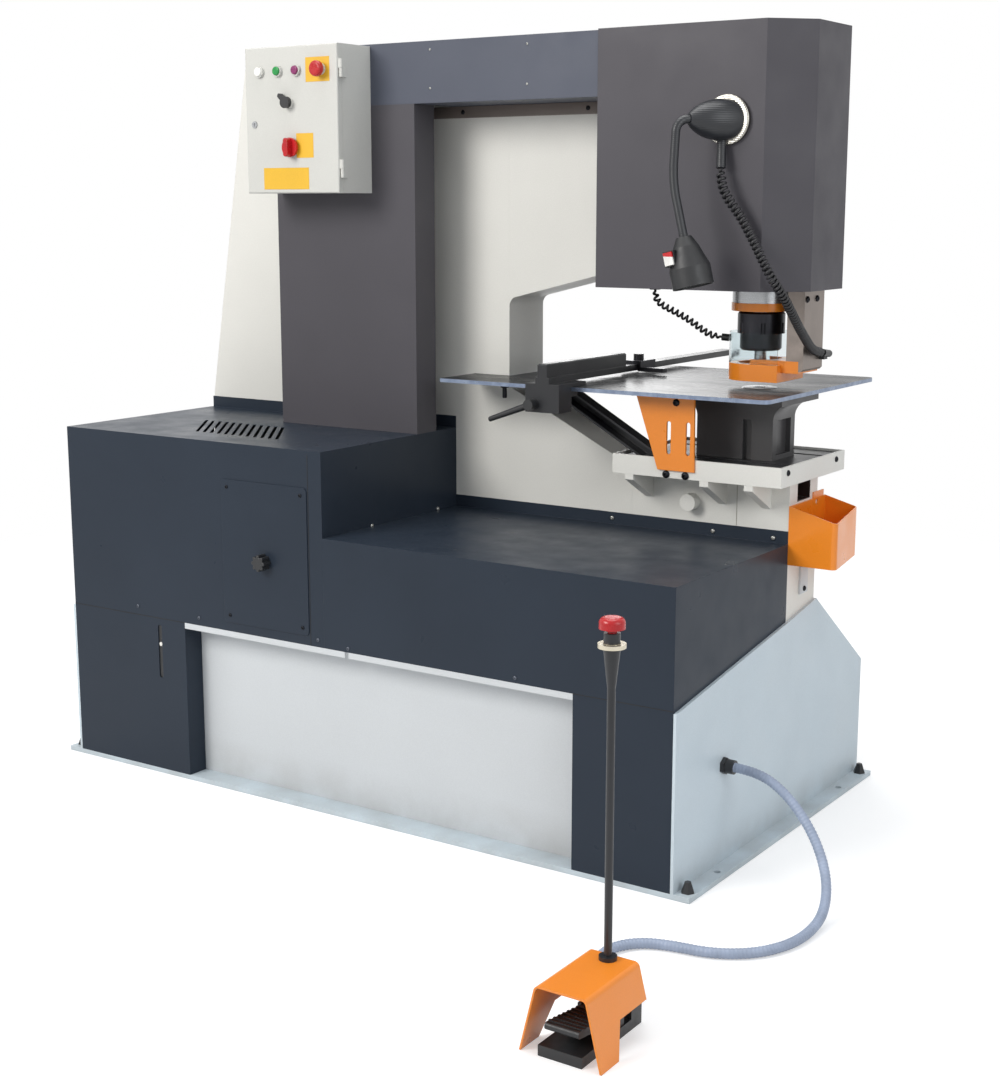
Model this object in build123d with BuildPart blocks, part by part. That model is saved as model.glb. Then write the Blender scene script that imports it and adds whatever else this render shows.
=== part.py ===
"""Hydraulic punch press with a deep-throat C-frame, sheet covers, power pack, table and foot switch."""
import os
from math import cos, hypot, radians, sin, tan

from build123d import *

os.makedirs("parts", exist_ok=True)

# Shared values, in millimetres. Origin: middle of the sole on the floor, +X to the nose, -Y to the user.
overrun = 5.0
sheet_t = 2.5
slip = 0.3
running = 0.05

# Base weldment
base_length = 1920.0
base_width = 1080.0
sole_t = 13.0
sole_flange = 42.0
end_plate_t = 8.0
near_shoulder_z = 440.0
near_ridge_z = 532.0
far_shoulder_z = 329.0
far_ridge_z = 562.0
anchor_inset_x = 21.0
anchor_inset_y = 180.0
anchor_hole_r = 9.0
cap_inset_y = 32.0
floor_cap_r = 17.0
floor_cap_h = 26.0
floor_cap_taper = 17.0

# C-frame
frame_t = 168.0
frame_offset = 132.0
frame_rear_gap = 5.0
knee_up = 20.0
frame_lean = 165.0
frame_down = 28.0
throat_depth = 700.0
throat_rise = 204.0
throat_below = 30.0
throat_r = 25.0
jaw_rise = 152.0
slope_gap = 2.0
jaw_below = 219.0
boss_back = 138.0
boss_drop = 73.0
boss_r = 22.0
boss_reach = 30.0
gusset_back = 264.0
gusset_middle = 53.0
gusset_front = 68.0
gusset_nose = 14.0
gusset_w = 24.0
gusset_h = 72.0
chute_w = 75.0
chute_h = 54.0

# Sheet covers
pack_h = 950.0
low_h = 730.0
step_back = 177.0
seam_z = 445.0
flange_h = 32.0
vent_back = 468.0
vent_in = 222.0
vent_count = 12
vent_pitch = 26.0
vent_length = 250.0
vent_w = 9.0
vent_angle = -53.0
recess = 65.0
left_pillar_w = 425.0
right_pillar_w = 264.0
sight_in = 330.0
sight_z = 351.0
sight_length = 150.0
sight_w = 14.0
lip_h = 16.0
lip_break_in = 67.0
lip_break = 12.0
access_back = 193.0
access_z = 662.0
access_w = 290.0
access_h = 384.0
access_rim = 18.0
access_r = 12.0
pipe_hole_r = 18.0

# Upper cladding
column_w = 473.0
column_out = 182.0
column_depth = 88.0
beam_h = 155.0
beam_down = 3.0
hood_back = 324.0
hood_proud = 2.0
hood_corner = 88.0
hood_reach = 208.0
hood_back_gap = 12.0
hood_gap = 48.0
head_h = 614.0
hood_window = 144.0
cord_boss_r = 14.0

# Control box on the column
cab_in = 17.0
cab_down = 5.0
cab_w = 314.0
cab_h = 377.0
cab_depth = 120.0
cab_wall = 2.0
cab_rim = 14.0
door_t = 18.0
door_r = 4.0
hinge_r = 5.0
hinge_out = 6.0
hinge_length = 46.0
hinge_inset = 62.0
device_row_down = 63.0
device_pitch = 63.0
device_first = 52.0
estop_in = 261.0
bezel_r = 15.0
bezel_t = 7.0
cap_r = 11.0
cap_reach = 12.0
cap_depth = 10.0
estop_r = 20.0
estop_head = 14.0
estop_stand = 15.0
selector_in = 150.0
selector_down = 144.0
selector_lever = 40.0
selector_lever_w = 12.0
selector_angle = 135.0
lock_in = 30.0
lock_down = 198.0
lock_r = 9.0
lock_tongue = 34.0
switch_in = 159.0
switch_down = 259.0
switch_r = 25.0
switch_grip_w = 15.0
switch_reach = 24.0

# Cylinder, ram and tools
nose_length = 130.0
barrel_r = 88.0
barrel_down = 191.0
barrel_cap = 40.0
bore_r = 65.0
bore_up = 43.0
neck_r = 73.0
neck_down = 39.0
pad_w = 120.0
pad_reach = 96.0
pad_h = 93.0
rod_r = 50.0
piston_h = 60.0
piston_down = 160.0
collar_r = 75.0
collar_t = 20.0
nut_r = 59.0
nut_top_gap = 2.0
nut_h = 96.0
nut_step = 42.0
nut_low_r = 52.0
nut_lip = 13.0
nut_chamfer = 5.0
spigot_r = 36.0
spigot_h = 42.0
punch_r = 15.0
punch_head_r = 24.0
punch_reach = 83.0
punch_play = 2.0

# Stripper and its guard
hanger_t = 12.0
hanger_up = 50.0
hanger_in = 83.0
hanger_half = 58.0
hanger_depth = 45.0
hanger_flange_up = 75.0
arm_t = 30.0
strip_gap = 22.0
stripper_t = 42.0
stripper_reach = 82.0
stripper_floor = 10.0
well_gap = 3.0
stripper_hole_r = 22.0
guard_r = 78.0
guard_wall = 3.0
guard_h = 77.0
plug_r = 9.0
plug_length = 44.0

# Bolster tray, die and its holder
tray_back = 313.0
tray_reach = 155.0
tray_half = 192.0
tray_h = 50.0
tray_wall = 6.0
bolster_gap = 1.0
bolster_h = 38.0
slot_w = 16.0
slot_depth = 14.0
slot_offset = 100.0
holder_back = 140.0
holder_front = 70.0
holder_flare = 43.0
holder_d = 130.0
holder_cap_d = 220.0
holder_cap_t = 22.0
holder_groove_w = 24.0
holder_recess_d = 14.0
holder_window_w = 82.0
holder_window_up = 12.0
slug_r = 30.0
die_r = 45.0
die_h = 30.0
die_stand = 1.0
die_play = 0.3
die_clear = 1.0

# Table and its supports
table_z = 1105.0
table_t = 10.0
table_back = 104.0
table_reach = 145.0
table_out = 177.0
table_far = 319.0
table_gap = 12.0
table_r = 22.0
bracket_t = 6.0
bracket_back = 245.0
bracket_w = 165.0
bracket_foot_back = 180.0
bracket_foot_w = 102.0
bracket_up = 20.0
bracket_flange = 44.0
bracket_slot_in = 95.0
bracket_slot_pitch = 54.0
bracket_slot_w = 12.0
bracket_slot_length = 83.0
bracket_slot_down = 107.0
brace_back = 558.0
brace_w = 75.0
brace_foot_back = 265.0
brace_in = 40.0
brace_d = 40.0
brace_wall = 6.0

# Fence on the table
fence_back = 445.0
ruler_w = 40.0
ruler_t = 16.0
ruler_over = 315.0
fence_w = 28.0
fence_h = 34.0
rail_length = 339.0
carriage_w = 100.0
carriage_out = 60.0
carriage_drop = 62.0
carriage_lift = 10.0
tongue = 70.0
jaw_grip = 28.0
jaw_t = 14.0
stop_gap = 52.0
stop_length = 84.0
stop_wall = 9.0
stop_finger = 70.0
lever_hub_r = 14.0
lever_hub_t = 26.0
lever_length = 134.0
lever_r = 9.0
lever_angle = 200.0
lever_drop = 20.0
lever_in = 24.0
lever_taper = 1.0

# Slug bin on the nose
bin_reach = 128.0
bin_taper = 38.0
bin_near = 86.0
bin_far = 132.0
bin_h = 148.0
bin_slope = 34.0
bin_below = 6.0
bin_wall = 3.0
bin_r = 12.0
bin_tab_in = 54.0
bin_tab_w = 64.0
bin_tab_h = 16.0
bin_hole_r = 7.0
bin_hole_in = 22.0
bin_hole_down = 10.0

# Lamp on the hood
lamp_side = 27.0
lamp_up = 392.0
lamp_ring_r = 58.0
lamp_ring_t = 12.0
bell_r = 47.0
bell_tip_r = 13.0
bell_mid_r = 40.0
bell_mid_share = 0.55
bell_out = 78.0
bell_side = 54.0
neck_tube_r = 10.0
neck_bend_r = 30.0
neck_sweep_r = 300.0
neck_out = 32.0
neck_sway = 7.0
neck_fall = 139.0
neck_run = 130.0
head_tilt = 14.0
head_length = 116.0
head_collar_share = 0.2
head_flare_share = 0.62
head_top_r = 18.0
head_mid_r = 30.0
head_mouth_r = 48.0
head_wall = 3.0
rocker_w = 22.0
rocker_h = 30.0
rocker_t = 12.0
rocker_play = 1.2
rocker_side = 26.0
rocker_down = 44.0
rocker_out = 42.0
rocker_sink = 7.0
sleeve_r = 11.0
sleeve_length = 72.0

# Power pack inside the left cover
tank_in = 60.0
tank_step = 203.0
tank_near_gap = 95.0
tank_back_gap = 30.0
tank_h = 380.0
tank_wall = 4.0
tank_lid_t = 8.0
breather_r = 30.0
breather_in = 70.0
tank_lid_over = 12.0
motor_in = 20.0
motor_length = 285.0
motor_r = 100.0
motor_from_near = 315.0
motor_lift = 128.0
motor_fins = 20
fin_h = 10.0
fin_t = 5.0
foot_w = 180.0
foot_t = 14.0
terminal_w = 110.0
terminal_d = 96.0
terminal_h = 50.0
bell_length = 112.0
bell_housing_r = 84.0
bell_wall = 10.0
bell_window_r = 26.0
hub_r = 34.0
hub_gap = 14.0
shaft_r = 14.0
shaft_in = 34.0
pump_r = 52.0
pump_length = 86.0
pump_flange_r = 64.0
pump_flange_t = 18.0
valve_w = 112.0
valve_d = 120.0
valve_h = 140.0
coil_r = 24.0
coil_length = 58.0
pipe_r = 11.0
pipe_bend_r = 45.0
pipe_column_in = 44.0
pipe_top_in = 70.0
port_down = 90.0
port_r = 18.0
port_out = 8.0

# Foot switch, its post and its conduit
pedal_out = 191.0
pedal_away = 784.0
pedal_base_w = 96.0
pedal_base_length = 224.0
pedal_base_h = 22.0
hood_foot_w = 180.0
hood_roof_w = 112.0
pedal_hood_h = 138.0
pedal_hood_length = 196.0
pedal_wall = 4.0
pedal_cut_z = 66.0
pedal_foot_length = 62.0
treadle_w = 74.0
treadle_length = 138.0
treadle_t = 15.0
treadle_rise = 8.0
treadle_back = 75.0
treadle_pin_r = 5.0
treadle_eye_r = 11.0
treadle_up = 18.0
treadle_ribs = 7
treadle_rib_h = 2.0
treadle_rib_w = 6.0
ear_t = 8.0
post_back = 174.0
post_r = 8.0
post_z = 677.0
post_foot_r = 18.0
post_foot_t = 8.0
sleeve_top_r = 17.0
post_sleeve_h = 78.0
collar_disc_r = 27.0
collar_disc_t = 8.0
post_head_r = 16.0
post_head_h = 20.0
mushroom_r = 25.0
mushroom_h = 22.0
mushroom_stem_r = 9.0
mushroom_stand = 8.0
gland_r = 17.0
gland_length = 30.0
gland_nut_r = 21.0
gland_nut_length = 10.0
gland_in = 241.0
gland_z = 255.0
pedal_gland_length = 15.0
pedal_gland_r = 16.0
pedal_box_d = 40.0
pedal_gland_z = 20.0
knob_r = 17.0
knob_reach = 28.0
knob_lobes = 8
knob_lobe_r = 5.0
knob_shaft_r = 7.0
knob_down = 14.0

# Cord routes, points chosen by hand, from the base corner or the punch axis under the hood
cord_share = 0.45
conduit_d = 24.0
conduit_steps = [
    (38, 241, 255), (98, 241, 255), (170, 229, 226), (237, 210, 172), (290, 179, 112),
    (327, 131, 60), (347, 64, 22), (351, -20, 12), (339, -105, 12), (295, -182, 12),
    (220, -230, 12), (138, -240, 12), (76, -260, 12), (36, -308, 12), (30, -368, 12),
    (60, -416, 12), (112, -434, 12), (153, -452, 14), (180, -482, 18), (191, -518, 20),
    (191, -545, 20),
]
lamp_cord_d = 24.0
lamp_cord_steps = [
    (27, -298, 283), (31, -306, 249), (50, -306, 213), (79, -298, 175), (106, -294, 129),
    (132, -292, 81), (156, -288, 35), (172, -254, -7), (174, -214, -42), (171, -161, -82),
    (165, -102, -117), (160, -53, -144), (157, -12, -154), (155, 28, -159),
]
guard_cord_d = 20.0
guard_cord_steps = [
    (-264, -72, -12), (-264, -72, -32), (-246, -70, -50), (-214, -66, -64), (-175, -60, -83),
    (-140, -50, -109), (-116, -41, -125), (-92, -33, -127),
]

# Derived places
half_l = base_length / 2
near_y = -base_width / 2
far_y = base_width / 2
frame_near_y = frame_offset - frame_t / 2
frame_far_y = frame_offset + frame_t / 2
frame_rear_x = frame_rear_gap - half_l
punch_x = half_l - nose_length
throat_x = punch_x - throat_depth
throat_top_z = table_z + throat_rise
throat_low_z = table_z - throat_below
jaw_front_z = throat_top_z + jaw_rise
jaw_top_z = table_z - jaw_below
jaw_front_x = punch_x - barrel_r
boss_x = punch_x - boss_back
gusset_xs = (punch_x - gusset_back, punch_x - gusset_middle, punch_x + gusset_front)
frame_knee_z = pack_h + knee_up
step_x = throat_x - step_back
vent_x = step_x - vent_back
vent_y = near_y + vent_in
left_pillar_x = left_pillar_w - half_l
right_pillar_x = half_l - right_pillar_w
sight_x = sight_in - half_l
lip_break_x = step_x + lip_break_in
access_x = step_x - access_back
hood_z = throat_top_z + hood_gap
hood_top_z = hood_z + head_h
beam_top_z = hood_top_z - beam_down
beam_z = beam_top_z - beam_h
frame_top_z = beam_top_z - frame_down
column_x = step_x - column_w
column_front_y = frame_near_y - column_out
hood_x = punch_x - hood_back
hood_end_x = punch_x + hood_reach
hood_window_x = hood_x + hood_window
hood_front_y = column_front_y - hood_proud
hood_back_y = frame_far_y + hood_back_gap
cab_x = column_x + cab_in
cab_z = beam_top_z - cab_down - cab_h
cab_front_y = column_front_y - cab_depth
door_back_y = cab_front_y - slip
door_y = door_back_y - door_t
cab_end_x = cab_x + cab_w
cab_top_z = cab_z + cab_h
device_z = cab_top_z - device_row_down
barrel_top_z = hood_top_z - barrel_down
bore_z = hood_z + bore_up
neck_z = hood_z - neck_down
pad_z = hood_z + pad_h
piston_z = barrel_top_z - piston_down
collar_z = neck_z - collar_t
nut_top_z = collar_z - nut_top_gap
nut_z = nut_top_z - nut_h
hanger_x = punch_x + pad_reach
hanger_front_x = hanger_x + hanger_depth
hanger_z = table_z + hanger_up
flange_z = table_z + hanger_flange_up
hanger_y = (frame_offset - hanger_half, frame_offset + hanger_half)
hanger_top_z = hood_z + hanger_in
stripper_z = table_z + strip_gap
tray_x = punch_x - tray_back
tray_end_x = punch_x + tray_reach
slope_end_x = tray_x - slope_gap
bed_z = jaw_top_z + tray_wall + bolster_h
table_low_z = table_z - table_t
table_x = throat_x - table_back
table_end_x = punch_x + table_reach
table_near_y = frame_near_y - table_out
table_far_y = frame_far_y + table_far
bracket_x = punch_x - bracket_back
bracket_foot_x = punch_x - bracket_foot_back
bracket_slot_x = bracket_x + bracket_slot_in
brace_x = punch_x - brace_back
brace_foot_x = punch_x - brace_foot_back
fence_x = punch_x - fence_back
ruler_end_y = table_far_y + ruler_over
fence_end_y = table_near_y + rail_length
stop_y = fence_end_y + stop_gap
chute_z = jaw_top_z - chute_h
nose_x = punch_x - chute_w / 2
bin_top_z = chute_z - bin_below
lamp_x = punch_x + lamp_side
lamp_z = hood_z + lamp_up
tank_x = tank_in - half_l
tank_end_x = step_x - tank_step
motor_x = tank_x + motor_in
motor_y = near_y + motor_from_near
pedal_x = half_l + pedal_out
pedal_front_y = near_y - pedal_away
gland_y = near_y + gland_in
anchor_x = half_l + end_plate_t + sole_flange - anchor_inset_x


def placed(route, start):
    """Route points measured from a place on the machine."""
    return [(x + start[0], y + start[1], z + start[2]) for x, y, z in route]


conduit_route = placed(conduit_steps, (half_l, near_y, 0))
lamp_cord_route = placed(lamp_cord_steps, (punch_x, frame_offset, hood_z))
guard_cord_route = placed(guard_cord_steps, (punch_x, frame_offset, hood_z))


def save(piece, name):
    """Label a finished piece and write it as one STEP file."""
    piece.part.label = name
    export_step(piece.part, f"parts/{name}.step")


def block(x, y, z, mode=Mode.ADD):
    """Box between two limits along each axis."""
    with Locations(((x[0] + x[1]) / 2, (y[0] + y[1]) / 2, (z[0] + z[1]) / 2)):
        Box(x[1] - x[0], y[1] - y[0], z[1] - z[0], mode=mode)


def rod(x, y, z, radius, length, direction=Axis.Z, mode=Mode.ADD):
    """Cylinder that starts at a point and runs along an axis."""
    with BuildSketch(Plane((x, y, z), z_dir=direction.direction)) as disc:
        Circle(radius)
    extrude(disc.sketch, amount=length, mode=mode)


# Base: sole plate with end plates that slope down from the frame to both sides
with BuildPart() as base_frame:
    with BuildSketch():
        Rectangle(base_length + 2 * (end_plate_t + sole_flange), base_width)
    extrude(amount=sole_t)
    with BuildSketch(Plane.YZ.offset(half_l)) as gable:
        with BuildLine():
            Polyline(
                (near_y, sole_t), (far_y, sole_t), (far_y, far_shoulder_z), (frame_far_y, far_ridge_z),
                (frame_near_y, near_ridge_z), (near_y, near_shoulder_z), close=True,
            )
        make_face()
    extrude(amount=end_plate_t)
    with BuildSketch(Plane.YZ.offset(half_l)):
        with Locations((gland_y, gland_z)):
            Circle(gland_r - sheet_t)
    extrude(amount=end_plate_t, mode=Mode.SUBTRACT)
    extrude(gable.sketch.moved(Location((-base_length, 0, 0))), amount=-end_plate_t)
    with BuildSketch(Plane.XY.offset(sole_t)):
        with GridLocations(2 * anchor_x, base_width - 2 * anchor_inset_y, 2, 2):
            Circle(anchor_hole_r)
    extrude(amount=-sole_t, mode=Mode.SUBTRACT)
save(base_frame, "base_frame")

with BuildPart() as levelling_caps:
    with BuildSketch(Plane.XY.offset(sole_t)):
        with GridLocations(2 * anchor_x, base_width - 2 * cap_inset_y, 2, 2):
            RegularPolygon(floor_cap_r, 6)
    extrude(amount=floor_cap_h, taper=floor_cap_taper)
save(levelling_caps, "levelling_caps")

# C-frame: one deep-throated profile with bosses, tray gussets and the slug chute in its nose,
# parted at its welds into column, arm, jaw and nose
with BuildPart() as c_frame:
    with BuildSketch(Plane.XZ.offset(-frame_far_y)) as profile:
        with BuildLine():
            Polyline(
                (frame_rear_x, sole_t), (frame_rear_x, frame_knee_z),
                (frame_rear_x + frame_lean, frame_top_z),
                (jaw_front_x, frame_top_z), (jaw_front_x, jaw_front_z), (throat_x, throat_top_z),
                (throat_x, throat_low_z), (slope_end_x, jaw_top_z),
                (half_l, jaw_top_z), (half_l, sole_t), close=True,
            )
        make_face()
        inner = profile.vertices().filter_by(lambda v: abs(v.X - throat_x) < slip)
        fillet(inner, throat_r)
    extrude(amount=frame_t)
    for side in (-1, 1):
        wall_y = frame_offset + side * frame_t / 2
        reach_y = frame_offset + side * tray_half
        rod(boss_x, wall_y, jaw_top_z - boss_drop, boss_r, side * boss_reach, Axis.Y)
        for rib_x in gusset_xs:
            with BuildSketch(Plane.YZ.offset(rib_x - gusset_w / 2)) as rib:
                with BuildLine():
                    Polyline(
                        (wall_y, jaw_top_z), (reach_y, jaw_top_z), (reach_y, jaw_top_z - gusset_nose),
                        (wall_y, jaw_top_z - gusset_h), close=True,
                    )
                make_face()
            extrude(rib.sketch, amount=gusset_w)
    block(
        (nose_x, half_l + overrun),
        (frame_offset - chute_w / 2, frame_offset + chute_w / 2),
        (chute_z, jaw_top_z + overrun), Mode.SUBTRACT,
    )
    for cut_x in (throat_x, slope_end_x, nose_x):
        split(bisect_by=Plane.YZ.offset(cut_x), keep=Keep.BOTH)
    nose = c_frame.solids().sort_by(Axis.X)[-1]
    behind_nose = c_frame.solids().sort_by(Axis.X)[:-1]
    add(nose, mode=Mode.REPLACE)
    split(bisect_by=Plane.XY.offset(chute_z), keep=Keep.BOTH)
    nose_pieces = c_frame.solids()
    add([*behind_nose, *nose_pieces], mode=Mode.REPLACE)
save(c_frame, "c_frame")

# Left cover over the power pack, open below and at the frame, with vents in its top
with BuildPart() as power_pack_cover:
    block((-half_l, step_x), (near_y, frame_near_y), (seam_z, pack_h))
    pack_open = power_pack_cover.faces().sort_by(Axis.Z)[0]
    offset(amount=-sheet_t, openings=[pack_open, power_pack_cover.faces().sort_by(Axis.Y)[-1]])
    flange_y = (frame_near_y - sheet_t, frame_near_y)
    block((frame_rear_x, step_x), flange_y, (pack_h - sheet_t, pack_h + flange_h))
    with BuildSketch(Plane.XY.offset(pack_h - overrun)):
        with Locations((vent_x, vent_y)):
            with GridLocations(vent_pitch, 0, vent_count, 1):
                SlotOverall(vent_length, vent_w, rotation=vent_angle)
    extrude(amount=2 * overrun, mode=Mode.SUBTRACT)
    with BuildSketch(Plane.XZ.offset(-near_y - overrun)):
        with Locations((access_x, access_z)):
            RectangleRounded(access_w - 2 * access_rim, access_h - 2 * access_rim, access_r)
    extrude(amount=2 * overrun, mode=Mode.SUBTRACT)
    pipe_x = tank_end_x - valve_w / 2
    pipe_y = column_front_y + pipe_column_in
    rod(pipe_x, pipe_y, pack_h - overrun, pipe_hole_r, 2 * overrun, mode=Mode.SUBTRACT)
save(power_pack_cover, "power_pack_cover")

with BuildPart() as low_cover:
    block((step_x, half_l), (near_y, frame_near_y), (seam_z, low_h))
    low_open = low_cover.faces().sort_by(Axis.Z)[0]
    low_back = low_cover.faces().sort_by(Axis.Y)[-1]
    offset(amount=-sheet_t, openings=[low_open, low_back, low_cover.faces().sort_by(Axis.X)[0]])
    block((step_x, half_l), (frame_near_y - sheet_t, frame_near_y), (low_h - sheet_t, low_h + flange_h))
save(low_cover, "low_cover")

# Cover of the far side, folded along the end plates' slope
with BuildPart() as rear_cover:
    with BuildSketch(Plane.YZ.offset(-half_l)):
        with BuildLine():
            Polyline(
                (frame_far_y, sole_t), (far_y, sole_t), (far_y, far_shoulder_z),
                (frame_far_y, far_ridge_z), close=True,
            )
        make_face()
    extrude(amount=base_length)
    ends = rear_cover.faces().filter_by(Axis.X)
    rear_low = rear_cover.faces().sort_by(Axis.Z)[0]
    offset(amount=-sheet_t, openings=[*ends, rear_low, rear_cover.faces().sort_by(Axis.Y)[0]])
save(rear_cover, "rear_cover")

# Pillar covers either side of the recessed front panel
with BuildPart() as pillar_covers:
    block((-half_l, left_pillar_x), (near_y, near_y + recess), (sole_t, seam_z))
    block((right_pillar_x, half_l), (near_y, near_y + recess), (sole_t, seam_z))
    for x in ((-half_l, left_pillar_x), (right_pillar_x, half_l)):
        hollow_x = (x[0] + sheet_t, x[1] - sheet_t)
        hollow_y = (near_y + sheet_t, near_y + recess + overrun)
        block(hollow_x, hollow_y, (sole_t - overrun, seam_z + overrun), Mode.SUBTRACT)
    with BuildSketch(Plane.XZ.offset(-near_y - overrun)):
        with Locations((sight_x, sight_z)):
            SlotOverall(sight_length, sight_w, rotation=90)
    extrude(amount=2 * overrun, mode=Mode.SUBTRACT)
save(pillar_covers, "pillar_covers")

with BuildPart() as front_panel:
    with BuildSketch(Plane.YZ.offset(left_pillar_x)):
        with BuildLine():
            back_y = near_y + recess
            Polyline(
                (back_y, sole_t), (back_y, seam_z), (near_y, seam_z), (near_y, seam_z - lip_h),
                (near_y + sheet_t, seam_z - lip_h), (near_y + sheet_t, seam_z - sheet_t),
                (back_y - sheet_t, seam_z - sheet_t), (back_y - sheet_t, sole_t), close=True,
            )
        make_face()
    extrude(amount=right_pillar_x - left_pillar_x)
    block(
        (lip_break_x, lip_break_x + lip_break), (near_y - overrun, back_y - sheet_t),
        (seam_z - lip_h - overrun, seam_z + overrun), Mode.SUBTRACT,
    )
save(front_panel, "front_panel")

with BuildPart() as access_panel:
    with BuildSketch(Plane.XZ.offset(-near_y)):
        with Locations((access_x, access_z)):
            RectangleRounded(access_w, access_h, access_r)
    extrude(amount=sheet_t)
    rod(access_x, near_y, access_z - knob_down, knob_shaft_r + running, -sheet_t, Axis.Y, Mode.SUBTRACT)
save(access_panel, "access_panel")

# Upper cladding: column, beam and hood, with their near faces in one plane
with BuildPart() as column_cover:
    block((column_x, step_x), (column_front_y, column_front_y + column_depth), (pack_h, beam_z))
    column_ends = column_cover.faces().filter_by(Axis.Z)
    offset(amount=-sheet_t, openings=[*column_ends, column_cover.faces().sort_by(Axis.Y)[-1]])
save(column_cover, "column_cover")

with BuildPart() as beam_cover:
    block((column_x, hood_x), (column_front_y, frame_near_y), (beam_z, beam_top_z))
    beam_back = beam_cover.faces().sort_by(Axis.Y)[-1]
    offset(amount=-sheet_t, openings=[beam_back, beam_cover.faces().sort_by(Axis.X)[-1]])
    block((column_x, hood_x), (frame_near_y - sheet_t, frame_far_y), (beam_top_z - sheet_t, beam_top_z))
    block(
        (column_x + sheet_t, step_x - sheet_t), (column_front_y + sheet_t, frame_near_y + overrun),
        (beam_z - overrun, beam_z + overrun), Mode.SUBTRACT,
    )
save(beam_cover, "beam_cover")

with BuildPart() as head_hood:
    with BuildSketch(Plane.XY.offset(hood_z)):
        with BuildLine():
            Polyline(
                (hood_x, hood_front_y), (hood_end_x - hood_corner, hood_front_y),
                (hood_end_x, hood_front_y + hood_corner), (hood_end_x, hood_back_y - hood_corner),
                (hood_end_x - hood_corner, hood_back_y), (hood_x, hood_back_y), close=True,
            )
        make_face()
    extrude(amount=hood_top_z - hood_z)
    offset(amount=-sheet_t, openings=head_hood.faces().sort_by(Axis.Z)[0])
    block((hood_x, hood_window_x), (hood_front_y, hood_back_y), (hood_z, hood_z + sheet_t))
    left_wall = (hood_x - overrun, hood_x + sheet_t + slip)
    far_side = (frame_near_y, hood_back_y - sheet_t)
    near_side = (hood_front_y + sheet_t, frame_near_y + overrun)
    block(left_wall, far_side, (hood_z + sheet_t, hood_top_z - sheet_t), Mode.SUBTRACT)
    block(left_wall, near_side, (beam_z, hood_top_z - sheet_t), Mode.SUBTRACT)
    hood_cord = guard_cord_route[0]
    rod(hood_cord[0], hood_cord[1], hood_cord[2], cord_boss_r, hood_z - hood_cord[2])
save(head_hood, "head_hood")

# Control box with its hinged door
hinge_x = cab_end_x + hinge_out
hinge_y = (door_back_y + door_y) / 2
hinge_zs = (cab_z + hinge_inset, cab_top_z - hinge_inset)

with BuildPart() as cabinet_box:
    block((cab_x, cab_end_x), (cab_front_y, column_front_y), (cab_z, cab_top_z))
    offset(amount=-cab_wall, openings=cabinet_box.faces().sort_by(Axis.Y)[0])
    with BuildSketch(Plane.XZ.offset(-cab_front_y)):
        with Locations((cab_x + cab_w / 2, cab_z + cab_h / 2)):
            Rectangle(cab_w, cab_h)
            Rectangle(cab_w - 2 * cab_rim, cab_h - 2 * cab_rim, mode=Mode.SUBTRACT)
    extrude(amount=-cab_wall)
    for hinge_z in hinge_zs:
        leaf_z = (hinge_z - hinge_length / 2, hinge_z - slip)
        rod(hinge_x, hinge_y, leaf_z[0], hinge_r, leaf_z[1] - leaf_z[0])
        block((cab_end_x, hinge_x), (cab_front_y, cab_front_y + cab_rim), leaf_z)
        block((cab_end_x + cab_wall, hinge_x), (hinge_y, cab_front_y), leaf_z)
save(cabinet_box, "cabinet_box")

lamp_dev_x = cab_x + device_first
start_x = lamp_dev_x + device_pitch
stop_x = start_x + device_pitch
estop_x = cab_x + estop_in
selector_x = cab_x + selector_in
selector_z = cab_top_z - selector_down
switch_x = cab_x + switch_in
switch_z = cab_top_z - switch_down
lock_x = cab_x + lock_in
lock_z = cab_top_z - lock_down

with BuildPart() as cabinet_door:
    block((cab_x, cab_end_x), (door_y, door_back_y), (cab_z, cab_top_z))
    front_edges = cabinet_door.faces().sort_by(Axis.Y)[0].edges()
    fillet(front_edges, door_r)
    offset(amount=-cab_wall, openings=cabinet_door.faces().sort_by(Axis.Y)[-1])
    row = [(x, device_z) for x in (lamp_dev_x, start_x, stop_x, estop_x)]
    for x, z in [*row, (selector_x, selector_z)]:
        rod(x, door_y, z, bezel_r, -bezel_t, Axis.Y)
        rod(x, door_y + overrun, z, cap_r + slip, -bezel_t - 2 * overrun, Axis.Y, Mode.SUBTRACT)
    for x, z in ((switch_x, switch_z), (lock_x, lock_z)):
        rod(x, door_y + overrun, z, lock_r + slip, -2 * overrun, Axis.Y, Mode.SUBTRACT)
    for hinge_z in hinge_zs:
        leaf_z = (hinge_z, hinge_z + hinge_length / 2)
        rod(hinge_x, hinge_y, leaf_z[0], hinge_r, leaf_z[1] - leaf_z[0])
        block((cab_end_x - cab_wall, hinge_x), (hinge_y - hinge_r, hinge_y), leaf_z)
save(cabinet_door, "cabinet_door")


def push_cap(x):
    """Round push button in its bezel."""
    with BuildPart() as cap:
        rod(x, door_y + cap_depth, device_z, cap_r, -cap_depth - cap_reach, Axis.Y)
        fillet(cap.edges().sort_by(Axis.Y)[0], cap_r / 4)
    return cap


save(push_cap(lamp_dev_x), "power_lamp")
save(push_cap(start_x), "start_button")
save(push_cap(stop_x), "stop_button")

with BuildPart() as cabinet_estop:
    rod(estop_x, door_y + cap_depth, device_z, cap_r, -cap_depth - estop_stand, Axis.Y)
    rod(estop_x, door_y - estop_stand, device_z, estop_r, -estop_head, Axis.Y)
    fillet(cabinet_estop.edges().sort_by(Axis.Y)[0], estop_head / 2)
save(cabinet_estop, "cabinet_estop")

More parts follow.
